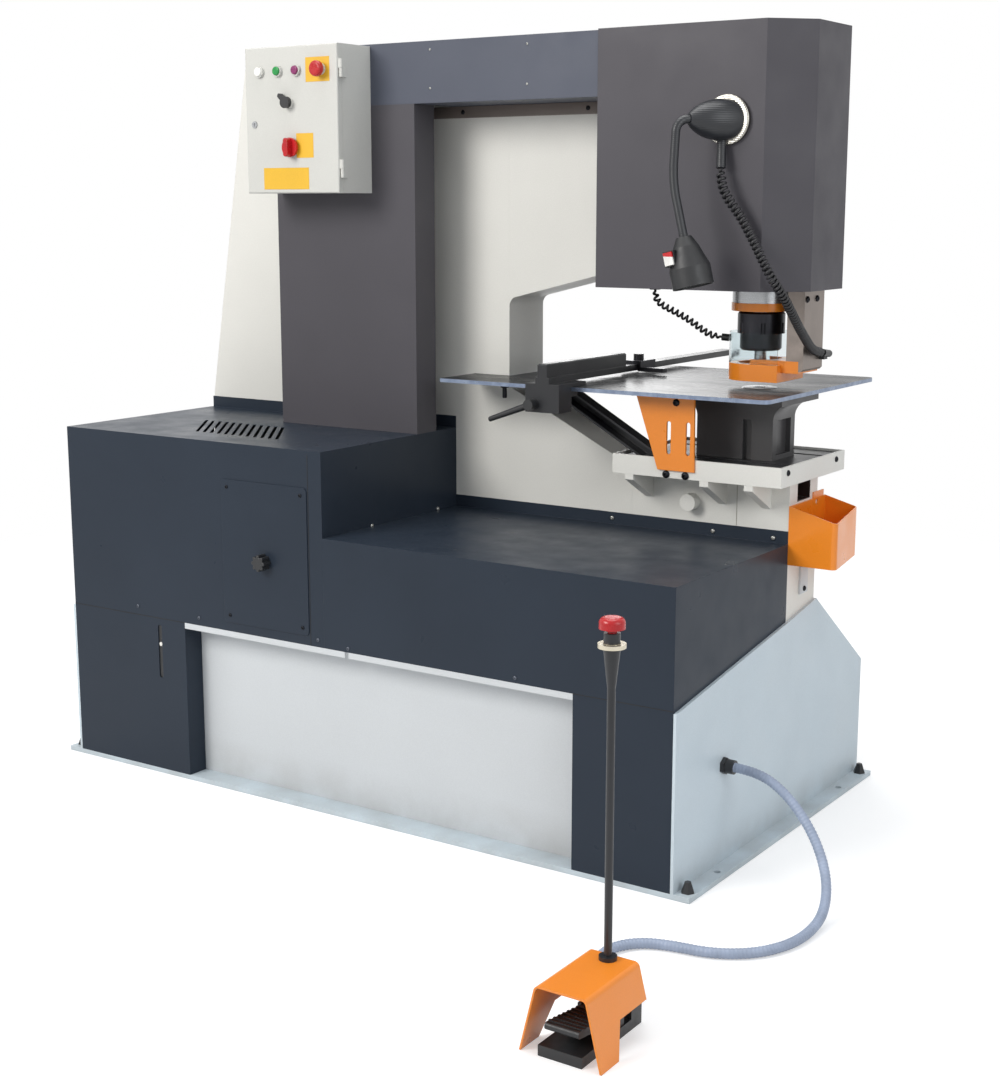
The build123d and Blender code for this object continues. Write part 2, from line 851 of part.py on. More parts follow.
with BuildPart() as selector_knob:
    rod(selector_x, door_y + cap_depth, selector_z, cap_r, -cap_depth - bezel_t - slip, Axis.Y)
    with BuildSketch(Plane.XZ.offset(-door_y + bezel_t + slip)):
        with Locations((selector_x, selector_z)):
            Circle(bezel_r)
            with PolarLocations(selector_lever / 4, 1, start_angle=selector_angle):
                SlotOverall(selector_lever, selector_lever_w)
    extrude(amount=selector_lever_w)
save(selector_knob, "selector_knob")

with BuildPart() as main_switch:
    rod(switch_x, door_y + cap_depth, switch_z, lock_r, -cap_depth - bezel_t, Axis.Y)
    rod(switch_x, door_y - bezel_t, switch_z, switch_r, -bezel_t, Axis.Y)
    with BuildSketch(Plane.XZ.offset(-door_y + bezel_t)):
        with Locations((switch_x, switch_z)):
            SlotOverall(2 * switch_r - cab_wall, switch_grip_w, rotation=90)
    extrude(amount=switch_reach)
    fillet(main_switch.faces().sort_by(Axis.Y)[0].edges(), cab_wall)
save(main_switch, "main_switch")

with BuildPart() as door_lock:
    rod(lock_x, door_y + cap_depth, lock_z, lock_r, -cap_depth - cab_wall, Axis.Y)
    with BuildSketch(Plane.XZ.offset(-door_y - cap_depth)):
        with Locations((lock_x, lock_z - lock_tongue / 4)):
            SlotOverall(lock_tongue, lock_r, rotation=90)
    extrude(amount=cab_wall)
    with BuildSketch(Plane.XZ.offset(-door_y + cab_wall)):
        with Locations((lock_x, lock_z)):
            Rectangle(cab_wall, lock_r)
    extrude(amount=-cab_wall, mode=Mode.SUBTRACT)
save(door_lock, "door_lock")

# Cylinder head: barrel with mounting pads, orange collar, ram, coupling nut and punch on one axis
head_axis = Axis((punch_x, frame_offset, 0), (0, 0, 1))
head_plane = Plane.XZ.offset(-frame_offset)

with BuildPart() as cylinder_barrel:
    with BuildSketch(head_plane):
        with BuildLine():
            Polyline(
                (punch_x, neck_z), (punch_x + neck_r, neck_z), (punch_x + neck_r, hood_z),
                (punch_x + barrel_r, hood_z), (punch_x + barrel_r, barrel_top_z),
                (punch_x, barrel_top_z), close=True,
            )
        make_face()
    revolve(axis=head_axis)
    pad_y = (frame_offset - pad_w / 2, frame_offset + pad_w / 2)
    block((jaw_front_x, punch_x), pad_y, (jaw_front_z, barrel_top_z))
    block((punch_x, hanger_x), pad_y, (hood_z, pad_z))
    port_z = barrel_top_z - port_down
    rod(punch_x, frame_offset, port_z, port_r, -barrel_r - port_out, Axis.Y)
    with BuildSketch(head_plane):
        with BuildLine():
            Polyline(
                (punch_x, neck_z - overrun), (punch_x + rod_r + running, neck_z - overrun),
                (punch_x + rod_r + running, bore_z), (punch_x + bore_r, bore_z),
                (punch_x + bore_r, barrel_top_z - barrel_cap),
                (punch_x, barrel_top_z - barrel_cap), close=True,
            )
        make_face()
    revolve(axis=head_axis, mode=Mode.SUBTRACT)
save(cylinder_barrel, "cylinder_barrel")

with BuildPart() as head_collar:
    with BuildSketch(Plane((punch_x, frame_offset, collar_z))):
        Circle(collar_r)
        Circle(rod_r + slip, mode=Mode.SUBTRACT)
    extrude(amount=collar_t)
save(head_collar, "head_collar")

with BuildPart() as ram:
    with BuildSketch(head_plane):
        with BuildLine():
            Polyline(
                (punch_x, nut_top_z - spigot_h), (punch_x + spigot_r, nut_top_z - spigot_h),
                (punch_x + spigot_r, nut_top_z), (punch_x + rod_r, nut_top_z), (punch_x + rod_r, piston_z),
                (punch_x + bore_r - running, piston_z), (punch_x + bore_r - running, piston_z + piston_h),
                (punch_x, piston_z + piston_h), close=True,
            )
        make_face()
    revolve(axis=head_axis)
save(ram, "ram")

punch_head_h = nut_h - spigot_h - nut_lip
with BuildPart() as punch_nut:
    rod(punch_x, frame_offset, nut_z, nut_low_r, nut_step)
    rod(punch_x, frame_offset, nut_z + nut_step, nut_r, nut_h - nut_step)
    rims = punch_nut.edges().filter_by(GeomType.CIRCLE).sort_by(Axis.Z)
    chamfer([rims[0], rims[-1]], nut_chamfer)
    rod(punch_x, frame_offset, nut_top_z - spigot_h, spigot_r + running, spigot_h, mode=Mode.SUBTRACT)
    rod(punch_x, frame_offset, nut_z + nut_lip, punch_head_r + slip, punch_head_h, mode=Mode.SUBTRACT)
    rod(punch_x, frame_offset, nut_z, punch_r + punch_play, nut_lip, mode=Mode.SUBTRACT)
    with BuildSketch(Plane((punch_x, frame_offset, nut_z + nut_step))) as spanner:
        with PolarLocations(nut_r, 6):
            Circle(nut_chamfer)
    extrude(spanner.sketch, amount=(nut_h - nut_step) / 2, mode=Mode.SUBTRACT)
save(punch_nut, "punch_nut")

with BuildPart() as punch:
    rod(punch_x, frame_offset, nut_z + nut_lip, punch_head_r, punch_head_h)
    rod(punch_x, frame_offset, nut_z + nut_lip - punch_reach, punch_r, punch_reach)
save(punch, "punch")

# Stripper on its channel-shaped hanger, with the clear guard round the punch
with BuildPart() as stripper_hanger:
    plate_back_x = hanger_front_x - hanger_t
    block((plate_back_x, hanger_front_x), hanger_y, (hanger_z, hanger_top_z))
    block((hanger_x, plate_back_x), hanger_y, (flange_z, hanger_top_z))
    block(
        (hanger_x - overrun, plate_back_x), (hanger_y[0] + hanger_t, hanger_y[1] - hanger_t),
        (flange_z - overrun, hanger_top_z + overrun), Mode.SUBTRACT,
    )
    foot_edges = stripper_hanger.faces().sort_by(Axis.X)[-1].edges().filter_by(Axis.Y)
    chamfer(foot_edges.sort_by(Axis.Z)[0], hanger_t / 2)
save(stripper_hanger, "stripper_hanger")

with BuildPart() as stripper:
    with BuildSketch(Plane.XY.offset(stripper_z)):
        with Locations((punch_x, frame_offset)):
            Circle(guard_r)
        with Locations((punch_x + stripper_reach / 2, frame_offset)):
            Rectangle(stripper_reach, 2 * guard_r)
    extrude(amount=stripper_t)
    block((punch_x, plate_back_x), hanger_y, (flange_z - arm_t, flange_z))
    well_z = stripper_z + stripper_floor
    rod(punch_x, frame_offset, well_z, nut_low_r + well_gap, flange_z - well_z, mode=Mode.SUBTRACT)
    rod(punch_x, frame_offset, stripper_z, stripper_hole_r, stripper_floor, mode=Mode.SUBTRACT)
    mouth = stripper.faces().sort_by(Axis.Z)[0].inner_wires().edges()
    chamfer(mouth, guard_wall)
save(stripper, "stripper")

guard_z = stripper_z + stripper_t
with BuildPart() as punch_guard:
    with BuildSketch(Plane((punch_x, frame_offset, guard_z))):
        Circle(guard_r)
        with Locations((stripper_reach / 2, 0)):
            Rectangle(stripper_reach, 2 * guard_r)
        Circle(guard_r - guard_wall, mode=Mode.SUBTRACT)
        with Locations((stripper_reach / 2 + overrun / 2, 0)):
            Rectangle(stripper_reach + overrun, 2 * (guard_r - guard_wall), mode=Mode.SUBTRACT)
    extrude(amount=guard_h)
save(punch_guard, "punch_guard")

# Plugs where the two curly cords end
with BuildPart() as cord_plugs:
    lamp_end = Vector(*lamp_cord_route[-1])
    lamp_way = lamp_end - Vector(*lamp_cord_route[-2])
    with BuildSketch(Plane(lamp_end, z_dir=lamp_way)) as plug_end:
        Circle(plug_r)
    extrude(plug_end.sketch, amount=plug_length)
    foot_y = (lamp_end.Y + plug_r, hanger_y[1])
    block((hanger_front_x, lamp_end.X), foot_y, (lamp_end.Z - 2 * plug_r, lamp_end.Z))
    guard_end = Vector(*guard_cord_route[-1])
    guard_way = guard_end - Vector(*guard_cord_route[-2])
    plug_run = hypot(punch_x - guard_end.X, frame_offset - guard_end.Y) - guard_r - 3 * slip
    with BuildSketch(Plane(guard_end, z_dir=guard_way)) as plug_end:
        Circle(plug_r)
    extrude(plug_end.sketch, amount=plug_run)
save(cord_plugs, "cord_plugs")

# Bolster: open tray on the lower jaw, slotted plate in it, flared die holder and die
tray_near_y = frame_offset - tray_half
tray_far_y = frame_offset + tray_half

with BuildPart() as bolster_tray:
    block((tray_x, tray_end_x), (tray_near_y, tray_far_y), (jaw_top_z, jaw_top_z + tray_h))
    offset(amount=-tray_wall, openings=bolster_tray.faces().sort_by(Axis.Z)[-1])
    rod(punch_x, frame_offset, jaw_top_z, slug_r, tray_wall, mode=Mode.SUBTRACT)
save(bolster_tray, "bolster_tray")

with BuildPart() as bolster_plate:
    margin = tray_wall + bolster_gap
    plate_x = (tray_x + margin, tray_end_x - margin)
    block(plate_x, (tray_near_y + margin, tray_far_y - margin), (jaw_top_z + tray_wall, bed_z))
    for slot_y in (frame_offset - slot_offset, frame_offset + slot_offset):
        block(plate_x, (slot_y - slot_w / 2, slot_y + slot_w / 2), (bed_z - slot_depth, bed_z), Mode.SUBTRACT)
    rod(punch_x, frame_offset, jaw_top_z + tray_wall, slug_r, bolster_h, mode=Mode.SUBTRACT)
save(bolster_plate, "bolster_plate")

die_z = table_z + die_stand - die_h
with BuildPart() as die_holder:
    cap_z = table_low_z - holder_cap_t
    waist_z = cap_z - holder_flare
    bow = holder_flare * cos(radians(45))
    left_x = punch_x - holder_back
    right_x = punch_x + holder_front
    brim = (left_x - holder_flare, right_x + holder_flare)
    with BuildSketch(head_plane):
        with BuildLine():
            for side, waist_x, brim_x in ((-1, left_x, brim[0]), (1, right_x, brim[1])):
                Line((waist_x, bed_z), (waist_x, waist_z))
                ThreePointArc((waist_x, waist_z), (brim_x - side * bow, waist_z + bow), (brim_x, cap_z))
            Line((left_x, bed_z), (right_x, bed_z))
            Line((brim[0], cap_z), (brim[1], cap_z))
        make_face()
    extrude(amount=holder_d / 2, both=True)
    block(brim, (frame_offset - holder_cap_d / 2, frame_offset + holder_cap_d / 2), (cap_z, table_low_z))
    for side in (-1, 1):
        face_y = frame_offset + side * holder_d / 2
        recess_y = sorted((face_y - side * holder_recess_d, face_y + side * overrun))
        groove_x = (punch_x - holder_groove_w / 2, punch_x + holder_groove_w / 2)
        block(groove_x, recess_y, (bed_z, waist_z), Mode.SUBTRACT)
    block(
        (right_x - holder_recess_d, right_x + overrun),
        (frame_offset - holder_window_w / 2, frame_offset + holder_window_w / 2),
        (bed_z + holder_window_up, waist_z), Mode.SUBTRACT,
    )
    rod(punch_x, frame_offset, bed_z, slug_r, table_low_z - bed_z, mode=Mode.SUBTRACT)
    rod(punch_x, frame_offset, die_z, die_r + running, table_low_z - die_z, mode=Mode.SUBTRACT)
save(die_holder, "die_holder")

with BuildPart() as die:
    rod(punch_x, frame_offset, die_z, die_r, die_h)
    chamfer(die.edges().sort_by(Axis.Z)[-1], die_stand)
    rod(punch_x, frame_offset, die_z, punch_r + die_play, die_h, mode=Mode.SUBTRACT)
save(die, "die")

# Table plate round the throat, on the die holder, two slotted brackets and a slanted channel
with BuildPart() as table_plate:
    with BuildSketch(Plane.XY.offset(table_low_z)) as top:
        with BuildLine():
            wing_x = throat_x + table_gap
            wing_y = frame_near_y - table_gap
            Polyline(
                (table_x, table_near_y), (table_end_x, table_near_y), (table_end_x, table_far_y),
                (wing_x, table_far_y), (wing_x, wing_y), (table_x, wing_y), close=True,
            )
        make_face()
        fillet(top.vertices().group_by(Axis.X)[-1], table_r)
        with Locations((punch_x, frame_offset)):
            Circle(die_r + die_clear, mode=Mode.SUBTRACT)
    extrude(amount=table_t)
save(table_plate, "table_plate")

with BuildPart() as table_brackets:
    for side in (-1, 1):
        wall_y = frame_offset + side * tray_half
        with BuildSketch(Plane.XZ.offset(-wall_y)) as web:
            with BuildLine():
                foot_z = jaw_top_z + bracket_up
                Polyline(
                    (bracket_x, table_low_z), (bracket_x + bracket_w, table_low_z),
                    (bracket_foot_x + bracket_foot_w, foot_z), (bracket_foot_x, foot_z), close=True,
                )
            make_face()
            for number in range(2):
                slot_x = bracket_slot_x + number * bracket_slot_pitch
                with Locations((slot_x, table_low_z - bracket_slot_down)):
                    SlotOverall(bracket_slot_length, bracket_slot_w, rotation=90, mode=Mode.SUBTRACT)
        extrude(amount=-side * bracket_t)
        outer_y = wall_y + side * bracket_t
        flange_y = sorted((outer_y, outer_y - side * bracket_flange))
        block((bracket_x, bracket_x + bracket_w), flange_y, (table_low_z - bracket_t, table_low_z))
save(table_brackets, "table_brackets")

with BuildPart() as table_brace:
    brace_y = tray_near_y + brace_in + brace_d
    lean = hypot(brace_foot_x - brace_x, table_low_z - bed_z) / (table_low_z - bed_z)
    with BuildSketch(Plane.XZ.offset(-brace_y)):
        with BuildLine():
            Polyline(
                (brace_x, table_low_z), (brace_x + brace_w, table_low_z),
                (brace_foot_x + brace_w, bed_z), (brace_foot_x, bed_z), close=True,
            )
        make_face()
    extrude(amount=brace_d)
    with BuildSketch(Plane.XZ.offset(-brace_y + brace_wall)):
        with BuildLine():
            edge = brace_wall * lean
            Polyline(
                (brace_x + edge, table_low_z), (brace_x + brace_w - edge, table_low_z),
                (brace_foot_x + brace_w - edge, bed_z), (brace_foot_x + edge, bed_z), close=True,
            )
        make_face()
    extrude(amount=brace_d, mode=Mode.SUBTRACT)
save(table_brace, "table_brace")

# Fence: carriage that grips the table's near edge, long ruler and tall stop rail in one piece
carriage_y = table_near_y - carriage_out
ruler_z = table_z + slip + carriage_lift
rail_z = ruler_z + ruler_t

with BuildPart() as fence:
    with BuildSketch(Plane.YZ.offset(fence_x - carriage_w / 2)):
        with BuildLine():
            inner_y = table_near_y - slip
            jaw_z = table_low_z - slip
            Polyline(
                (carriage_y, table_z - carriage_drop), (carriage_y, ruler_z),
                (table_near_y + tongue, ruler_z),
                (table_near_y + tongue, table_z + slip), (inner_y, table_z + slip), (inner_y, jaw_z),
                (table_near_y + jaw_grip, jaw_z), (table_near_y + jaw_grip, jaw_z - jaw_t),
                (inner_y, jaw_z - jaw_t), (inner_y, table_z - carriage_drop), close=True,
            )
        make_face()
    extrude(amount=carriage_w)
    block((fence_x - ruler_w / 2, fence_x + ruler_w / 2), (carriage_y, ruler_end_y), (ruler_z, rail_z))
    beam_x = (fence_x - fence_w / 2, fence_x + fence_w / 2)
    block(beam_x, (carriage_y, fence_end_y), (rail_z, rail_z + fence_h))
    rail_top = fence.faces().filter_by(Axis.Z).sort_by(Axis.Z)[-1]
    chamfer(rail_top.edges(), stop_wall / 3)
save(fence, "fence")

with BuildPart() as fence_stop:
    clear_half = ruler_w / 2 + slip
    stop_half = clear_half + stop_wall
    stop_low_z = table_z + slip + jaw_t / 2
    stop_x_range = (fence_x - stop_half, fence_x + stop_half)
    block(stop_x_range, (stop_y, stop_y + stop_length), (stop_low_z, rail_z + stop_wall))
    block(
        (fence_x - clear_half, fence_x + clear_half), (stop_y - overrun, stop_y + stop_length + overrun),
        (stop_low_z - overrun, rail_z + slip), Mode.SUBTRACT,
    )
    finger_y = (stop_y, stop_y + stop_length / 4)
    finger_x = (fence_x + clear_half, fence_x + stop_half + stop_finger)
    block(finger_x, finger_y, (stop_low_z, ruler_z + ruler_t / 2))
    rod(fence_x, stop_y + stop_length / 2, rail_z + stop_wall, lever_hub_r, ruler_t)
save(fence_stop, "fence_stop")

lever_x = fence_x - carriage_w / 2 + lever_in
lever_z = table_z - carriage_drop + lever_drop
with BuildPart() as clamp_lever:
    rod(lever_x, carriage_y - slip, lever_z, lever_hub_r, -lever_hub_t, Axis.Y)
    lever_start = (lever_x, carriage_y - slip - lever_hub_t / 2, lever_z)
    swing = (cos(radians(lever_angle)), 0, sin(radians(lever_angle)))
    with BuildSketch(Plane(lever_start, z_dir=swing)):
        Circle(lever_r)
    extrude(amount=lever_length, taper=lever_taper)
    fillet(clamp_lever.edges().sort_by(Axis.X)[0], lever_r / 2)
save(clamp_lever, "clamp_lever")

# Slug bin hung on the nose below the chute, narrower at its far side and lower in front
bin_y = (frame_offset - bin_near, frame_offset + bin_far)
bin_front_x = half_l + bin_reach
with BuildPart() as slug_bin:
    with BuildSketch(Plane.XY.offset(bin_top_z - bin_h)) as bin_outline:
        with BuildLine():
            Polyline(
                (half_l, bin_y[0]), (bin_front_x, bin_y[0]),
                (bin_front_x - bin_taper, bin_y[1]), (half_l, bin_y[1]),
                close=True,
            )
        make_face()
        fillet(bin_outline.vertices().sort_by(Axis.X)[-2:], bin_r)
    extrude(amount=bin_h)
    with BuildSketch(Plane.XZ.offset(-bin_y[1])) as slant:
        with BuildLine():
            Polyline(
                (half_l, bin_top_z), (bin_front_x, bin_top_z),
                (bin_front_x, bin_top_z - bin_slope), close=True,
            )
        make_face()
    extrude(slant.sketch, amount=bin_y[1] - bin_y[0], mode=Mode.SUBTRACT)
    offset(amount=-bin_wall, openings=slug_bin.faces().sort_by(Axis.Z)[-1])
    tab_y = frame_offset + bin_tab_in
    tab_z = (bin_top_z - bin_slope, bin_top_z + bin_tab_h)
    block((half_l, half_l + bin_wall), (tab_y, tab_y + bin_tab_w), tab_z)
    rod(half_l, tab_y + bin_hole_in, bin_top_z - bin_hole_down, bin_hole_r, bin_wall, Axis.X, Mode.SUBTRACT)
save(slug_bin, "slug_bin")

# Work lamp: ring and bell on the hood, bent neck, flared head with a rocker switch
ring_y = hood_front_y - lamp_ring_t
bell_tip = Vector(lamp_x - bell_side, ring_y - bell_out, lamp_z)
bell_way = Vector(-bell_side, -bell_out, 0).normalized()
bend_point = bell_tip + bell_way * neck_out
knee_point = bend_point + Vector(-neck_sway, 0, -neck_fall)
tilt = radians(head_tilt)
head_way = Vector(sin(tilt), 0, -cos(tilt))
head_point = knee_point + head_way * neck_run

with BuildPart() as lamp_arm:
    rod(lamp_x, hood_front_y, lamp_z, lamp_ring_r, -lamp_ring_t, Axis.Y)
    fillet(lamp_arm.edges().sort_by(Axis.Y)[0], lamp_ring_t / 3)
    with BuildSketch(Plane((lamp_x, ring_y, lamp_z), z_dir=(0, -1, 0))):
        Circle(bell_r)
    bell_middle = Vector(lamp_x - bell_side * bell_mid_share, ring_y - bell_out * bell_mid_share, lamp_z)
    with BuildSketch(Plane(bell_middle, z_dir=bell_way + Vector(0, -1, 0))):
        Circle(bell_mid_r)
    with BuildSketch(Plane(bell_tip, z_dir=bell_way)):
        Circle(bell_tip_r)
    loft()
    with BuildLine() as neck_path:
        FilletPolyline(bell_tip, bend_point, knee_point, head_point, radius=[neck_bend_r, neck_sweep_r])
    with BuildSketch(Plane(bell_tip, z_dir=bell_way)) as neck_end:
        Circle(neck_tube_r)
    sweep(neck_end.sketch, path=neck_path.wires()[0])
    sleeve_foot = Vector(*lamp_cord_route[0])
    sleeve_way = sleeve_foot - Vector(*lamp_cord_route[1])
    with BuildSketch(Plane(sleeve_foot, z_dir=sleeve_way)) as sleeve_end:
        Circle(sleeve_r)
    extrude(sleeve_end.sketch, amount=sleeve_length)
save(lamp_arm, "lamp_arm")

with BuildPart() as lamp_head:
    head_view = Plane(head_point, x_dir=(cos(tilt), 0, sin(tilt)), z_dir=(0, -1, 0))
    with BuildSketch(head_view):
        with Locations((-rocker_side, -rocker_down)):
            Rectangle(rocker_w + 2 * head_wall, rocker_h + 2 * head_wall)
    extrude(amount=rocker_out)
    with BuildSketch(head_view):
        with BuildLine():
            collar_y = -head_length * head_collar_share
            flare_y = -head_length * head_flare_share
            Polyline(
                (0, 0), (head_top_r, 0), (head_mid_r, collar_y),
                (head_mouth_r, flare_y), (head_mouth_r, -head_length),
                (0, -head_length), close=True,
            )
        make_face()
    revolve(axis=Axis(head_point, -head_way))
    with BuildSketch(head_view):
        with BuildLine():
            Polyline(
                (0, flare_y), (head_mouth_r - head_wall, flare_y),
                (head_mouth_r - head_wall, -head_length - overrun),
                (0, -head_length - overrun), close=True,
            )
        make_face()
    revolve(axis=Axis(head_point, -head_way), mode=Mode.SUBTRACT)
    with BuildSketch(head_view.offset(rocker_out - rocker_sink - 3 * rocker_play)):
        with Locations((-rocker_side, -rocker_down)):
            Rectangle(rocker_w + 2 * slip, rocker_h + 2 * rocker_play)
    extrude(amount=head_mouth_r, mode=Mode.SUBTRACT)
save(lamp_head, "lamp_head")

with BuildPart() as lamp_switch:
    with BuildSketch(head_view.offset(rocker_out - rocker_sink)):
        with Locations((-rocker_side, -rocker_down)):
            Rectangle(rocker_w, rocker_h)
    extrude(amount=rocker_t)
save(lamp_switch, "lamp_switch")

# Power pack under the left cover: tank, motor, coupling, pump, valve block and pressure pipe
tank_near_y = near_y + tank_near_gap
tank_back_y = frame_near_y - tank_back_gap
tank_top_z = sole_t + tank_h
lid_z = tank_top_z + tank_lid_t

with BuildPart() as oil_tank:
    block((tank_x, tank_end_x), (tank_near_y, tank_back_y), (sole_t, tank_top_z))
    offset(amount=-tank_wall, openings=oil_tank.faces().sort_by(Axis.Z)[-1])
    block(
        (tank_x - tank_lid_over, tank_end_x + tank_lid_over),
        (tank_near_y - tank_lid_over, tank_back_y + tank_lid_over),
        (tank_top_z, lid_z),
    )
    rod(
        tank_end_x - breather_in, tank_near_y + breather_in, tank_top_z, breather_r, tank_lid_t,
        mode=Mode.SUBTRACT,
    )
save(oil_tank, "oil_tank")

drive_z = lid_z + motor_lift
motor_end_x = motor_x + motor_length
bell_end_x = motor_end_x + bell_length
seat_x = bell_end_x - bell_wall

with BuildPart() as motor:
    with BuildSketch(Plane((motor_x, motor_y, drive_z), z_dir=(1, 0, 0))):
        Circle(motor_r - fin_h)
        with PolarLocations(motor_r - fin_h, motor_fins):
            Rectangle(2 * fin_h, fin_t)
    extrude(amount=motor_length)
    foot_x = (motor_x + motor_length / 4, motor_end_x - motor_length / 4)
    block(foot_x, (motor_y - foot_w / 2, motor_y + foot_w / 2), (lid_z, lid_z + foot_t))
    block(foot_x, (motor_y - foot_w / 4, motor_y + foot_w / 4), (lid_z, drive_z))
    box_x = (motor_x + motor_length / 2 - terminal_w / 2, motor_x + motor_length / 2 + terminal_w / 2)
    box_y = (motor_y - terminal_d / 2, motor_y + terminal_d / 2)
    block(box_x, box_y, (drive_z, drive_z + motor_r + terminal_h))
    rod(motor_end_x, motor_y, drive_z, shaft_r + running, -shaft_in - slip, Axis.X, Mode.SUBTRACT)
save(motor, "motor")

with BuildPart() as pump:
    rod(motor_end_x, motor_y, drive_z, bell_housing_r, bell_length, Axis.X)
    bell_hollow = bell_housing_r - bell_wall
    rod(motor_end_x, motor_y, drive_z, bell_hollow, bell_length - bell_wall, Axis.X, Mode.SUBTRACT)
    window_x = motor_end_x + bell_length / 2
    rod(window_x, motor_y - motor_r, drive_z, bell_window_r, 2 * motor_r, Axis.Y, Mode.SUBTRACT)
    rod(bell_end_x, motor_y, drive_z, pump_flange_r, pump_flange_t, Axis.X)
    rod(bell_end_x, motor_y, drive_z, pump_r, pump_length, Axis.X)
    rod(seat_x, motor_y, drive_z, shaft_r + running, shaft_in + slip, Axis.X, Mode.SUBTRACT)
save(pump, "pump")

with BuildPart() as drive_coupling:
    rod(motor_end_x + hub_gap, motor_y, drive_z, hub_r, seat_x - motor_end_x - 2 * hub_gap, Axis.X)
    rod(motor_end_x - shaft_in, motor_y, drive_z, shaft_r, seat_x - motor_end_x + 2 * shaft_in, Axis.X)
save(drive_coupling, "drive_coupling")

with BuildPart() as valve_block:
    valve_y = (pipe_y - valve_d / 2, pipe_y + valve_d / 2)
    block((tank_end_x - valve_w, tank_end_x), valve_y, (lid_z, lid_z + valve_h))
    coil_z = lid_z + valve_h / 2
    rod(pipe_x, valve_y[0], coil_z, coil_r, -coil_length, Axis.Y)
    rod(pipe_x, valve_y[1], coil_z, coil_r, coil_length, Axis.Y)
save(valve_block, "valve_block")

with BuildPart() as pressure_pipe:
    top_z = beam_top_z - pipe_top_in
    port_y = frame_offset - barrel_r - port_out
    with BuildLine() as pipe_path:
        FilletPolyline(
            (pipe_x, pipe_y, lid_z + valve_h), (pipe_x, pipe_y, top_z), (punch_x, pipe_y, top_z),
            (punch_x, pipe_y, port_z), (punch_x, port_y, port_z), radius=pipe_bend_r,
        )
    with BuildSketch(Plane.XY.offset(lid_z + valve_h)) as pipe_end:
        with Locations((pipe_x, pipe_y)):
            Circle(pipe_r)
    sweep(pipe_end.sketch, path=pipe_path.wires()[0])
save(pressure_pipe, "pressure_pipe")

# Cable gland in the end plate and lobed knob on the access panel
with BuildPart() as conduit_gland:
    plate_end_x = half_l + end_plate_t
    rod(half_l, gland_y, gland_z, gland_r - sheet_t - slip, end_plate_t, Axis.X)
    rod(plate_end_x, gland_y, gland_z, gland_r, gland_length, Axis.X)
    with BuildSketch(Plane((plate_end_x, gland_y, gland_z), z_dir=(1, 0, 0))) as gland_nut:
        RegularPolygon(gland_nut_r, 6)
    extrude(gland_nut.sketch, amount=gland_nut_length)
save(conduit_gland, "conduit_gland")

with BuildPart() as panel_knob:
    knob_z = access_z - knob_down
    knob_y = near_y - sheet_t - slip
    rod(access_x, near_y + access_rim, knob_z, knob_shaft_r, knob_y - near_y - access_rim, Axis.Y)
    with BuildSketch(Plane((access_x, knob_y, knob_z), z_dir=(0, -1, 0))):
        Circle(knob_r)
        with PolarLocations(knob_r, knob_lobes):
            Circle(knob_lobe_r)
    extrude(amount=knob_reach)
    fillet(panel_knob.faces().sort_by(Axis.Y)[0].edges(), sheet_t)
save(panel_knob, "panel_knob")

# Foot switch: base with treadle pin, hood over it, post with emergency stop
pedal_back_y = pedal_front_y + pedal_base_length
hood_rear_y = pedal_front_y + pedal_hood_length
pin_y = pedal_back_y - treadle_back
pin_z = pedal_base_h + treadle_up
ear_x = treadle_w / 2 + slip

with BuildPart() as pedal_base:
    base_x = (pedal_x - pedal_base_w / 2, pedal_x + pedal_base_w / 2)
    block(base_x, (pedal_front_y, pedal_back_y), (0, pedal_base_h))
    block(base_x, (pedal_back_y - pedal_box_d, pedal_back_y), (pedal_base_h, pedal_cut_z))
    rod(pedal_x - ear_x - ear_t, pin_y, pin_z, treadle_pin_r, 2 * (ear_x + ear_t), Axis.X)
    for side in (-1, 1):
        wall_x = sorted((pedal_x + side * ear_x, pedal_x + side * (ear_x + ear_t)))
        block(wall_x, (pin_y - treadle_eye_r, pin_y + treadle_eye_r), (pedal_base_h, pin_z + treadle_eye_r))
    rod(pedal_x, pedal_back_y, pedal_gland_z, pedal_gland_r, pedal_gland_length, Axis.Y)
save(pedal_base, "pedal_base")

with BuildPart() as pedal_guard:
    with BuildSketch(Plane.XZ.offset(-hood_rear_y)):
        with BuildLine():
            Polyline(
                (pedal_x - hood_foot_w / 2, 0), (pedal_x + hood_foot_w / 2, 0),
                (pedal_x + hood_roof_w / 2, pedal_hood_h),
                (pedal_x - hood_roof_w / 2, pedal_hood_h), close=True,
            )
        make_face()
    extrude(amount=pedal_hood_length)
    ridges = pedal_guard.edges().filter_by(Axis.Y).group_by(Axis.Z)[-1]
    fillet(ridges, 3 * pedal_wall)
    hood_open = pedal_guard.faces().sort_by(Axis.Y)[0]
    offset(amount=-pedal_wall, openings=[hood_open, pedal_guard.faces().sort_by(Axis.Z)[0]])
    with BuildSketch(Plane.YZ.offset(pedal_x)):
        with BuildLine():
            heel_y = pedal_front_y + pedal_foot_length
            Polyline(
                (heel_y, -overrun), (heel_y + pedal_cut_z / 2, pedal_cut_z),
                (hood_rear_y + overrun, pedal_cut_z),
                (hood_rear_y + overrun, -overrun), close=True,
            )
        make_face()
    extrude(amount=hood_foot_w, both=True, mode=Mode.SUBTRACT)
save(pedal_guard, "pedal_guard")

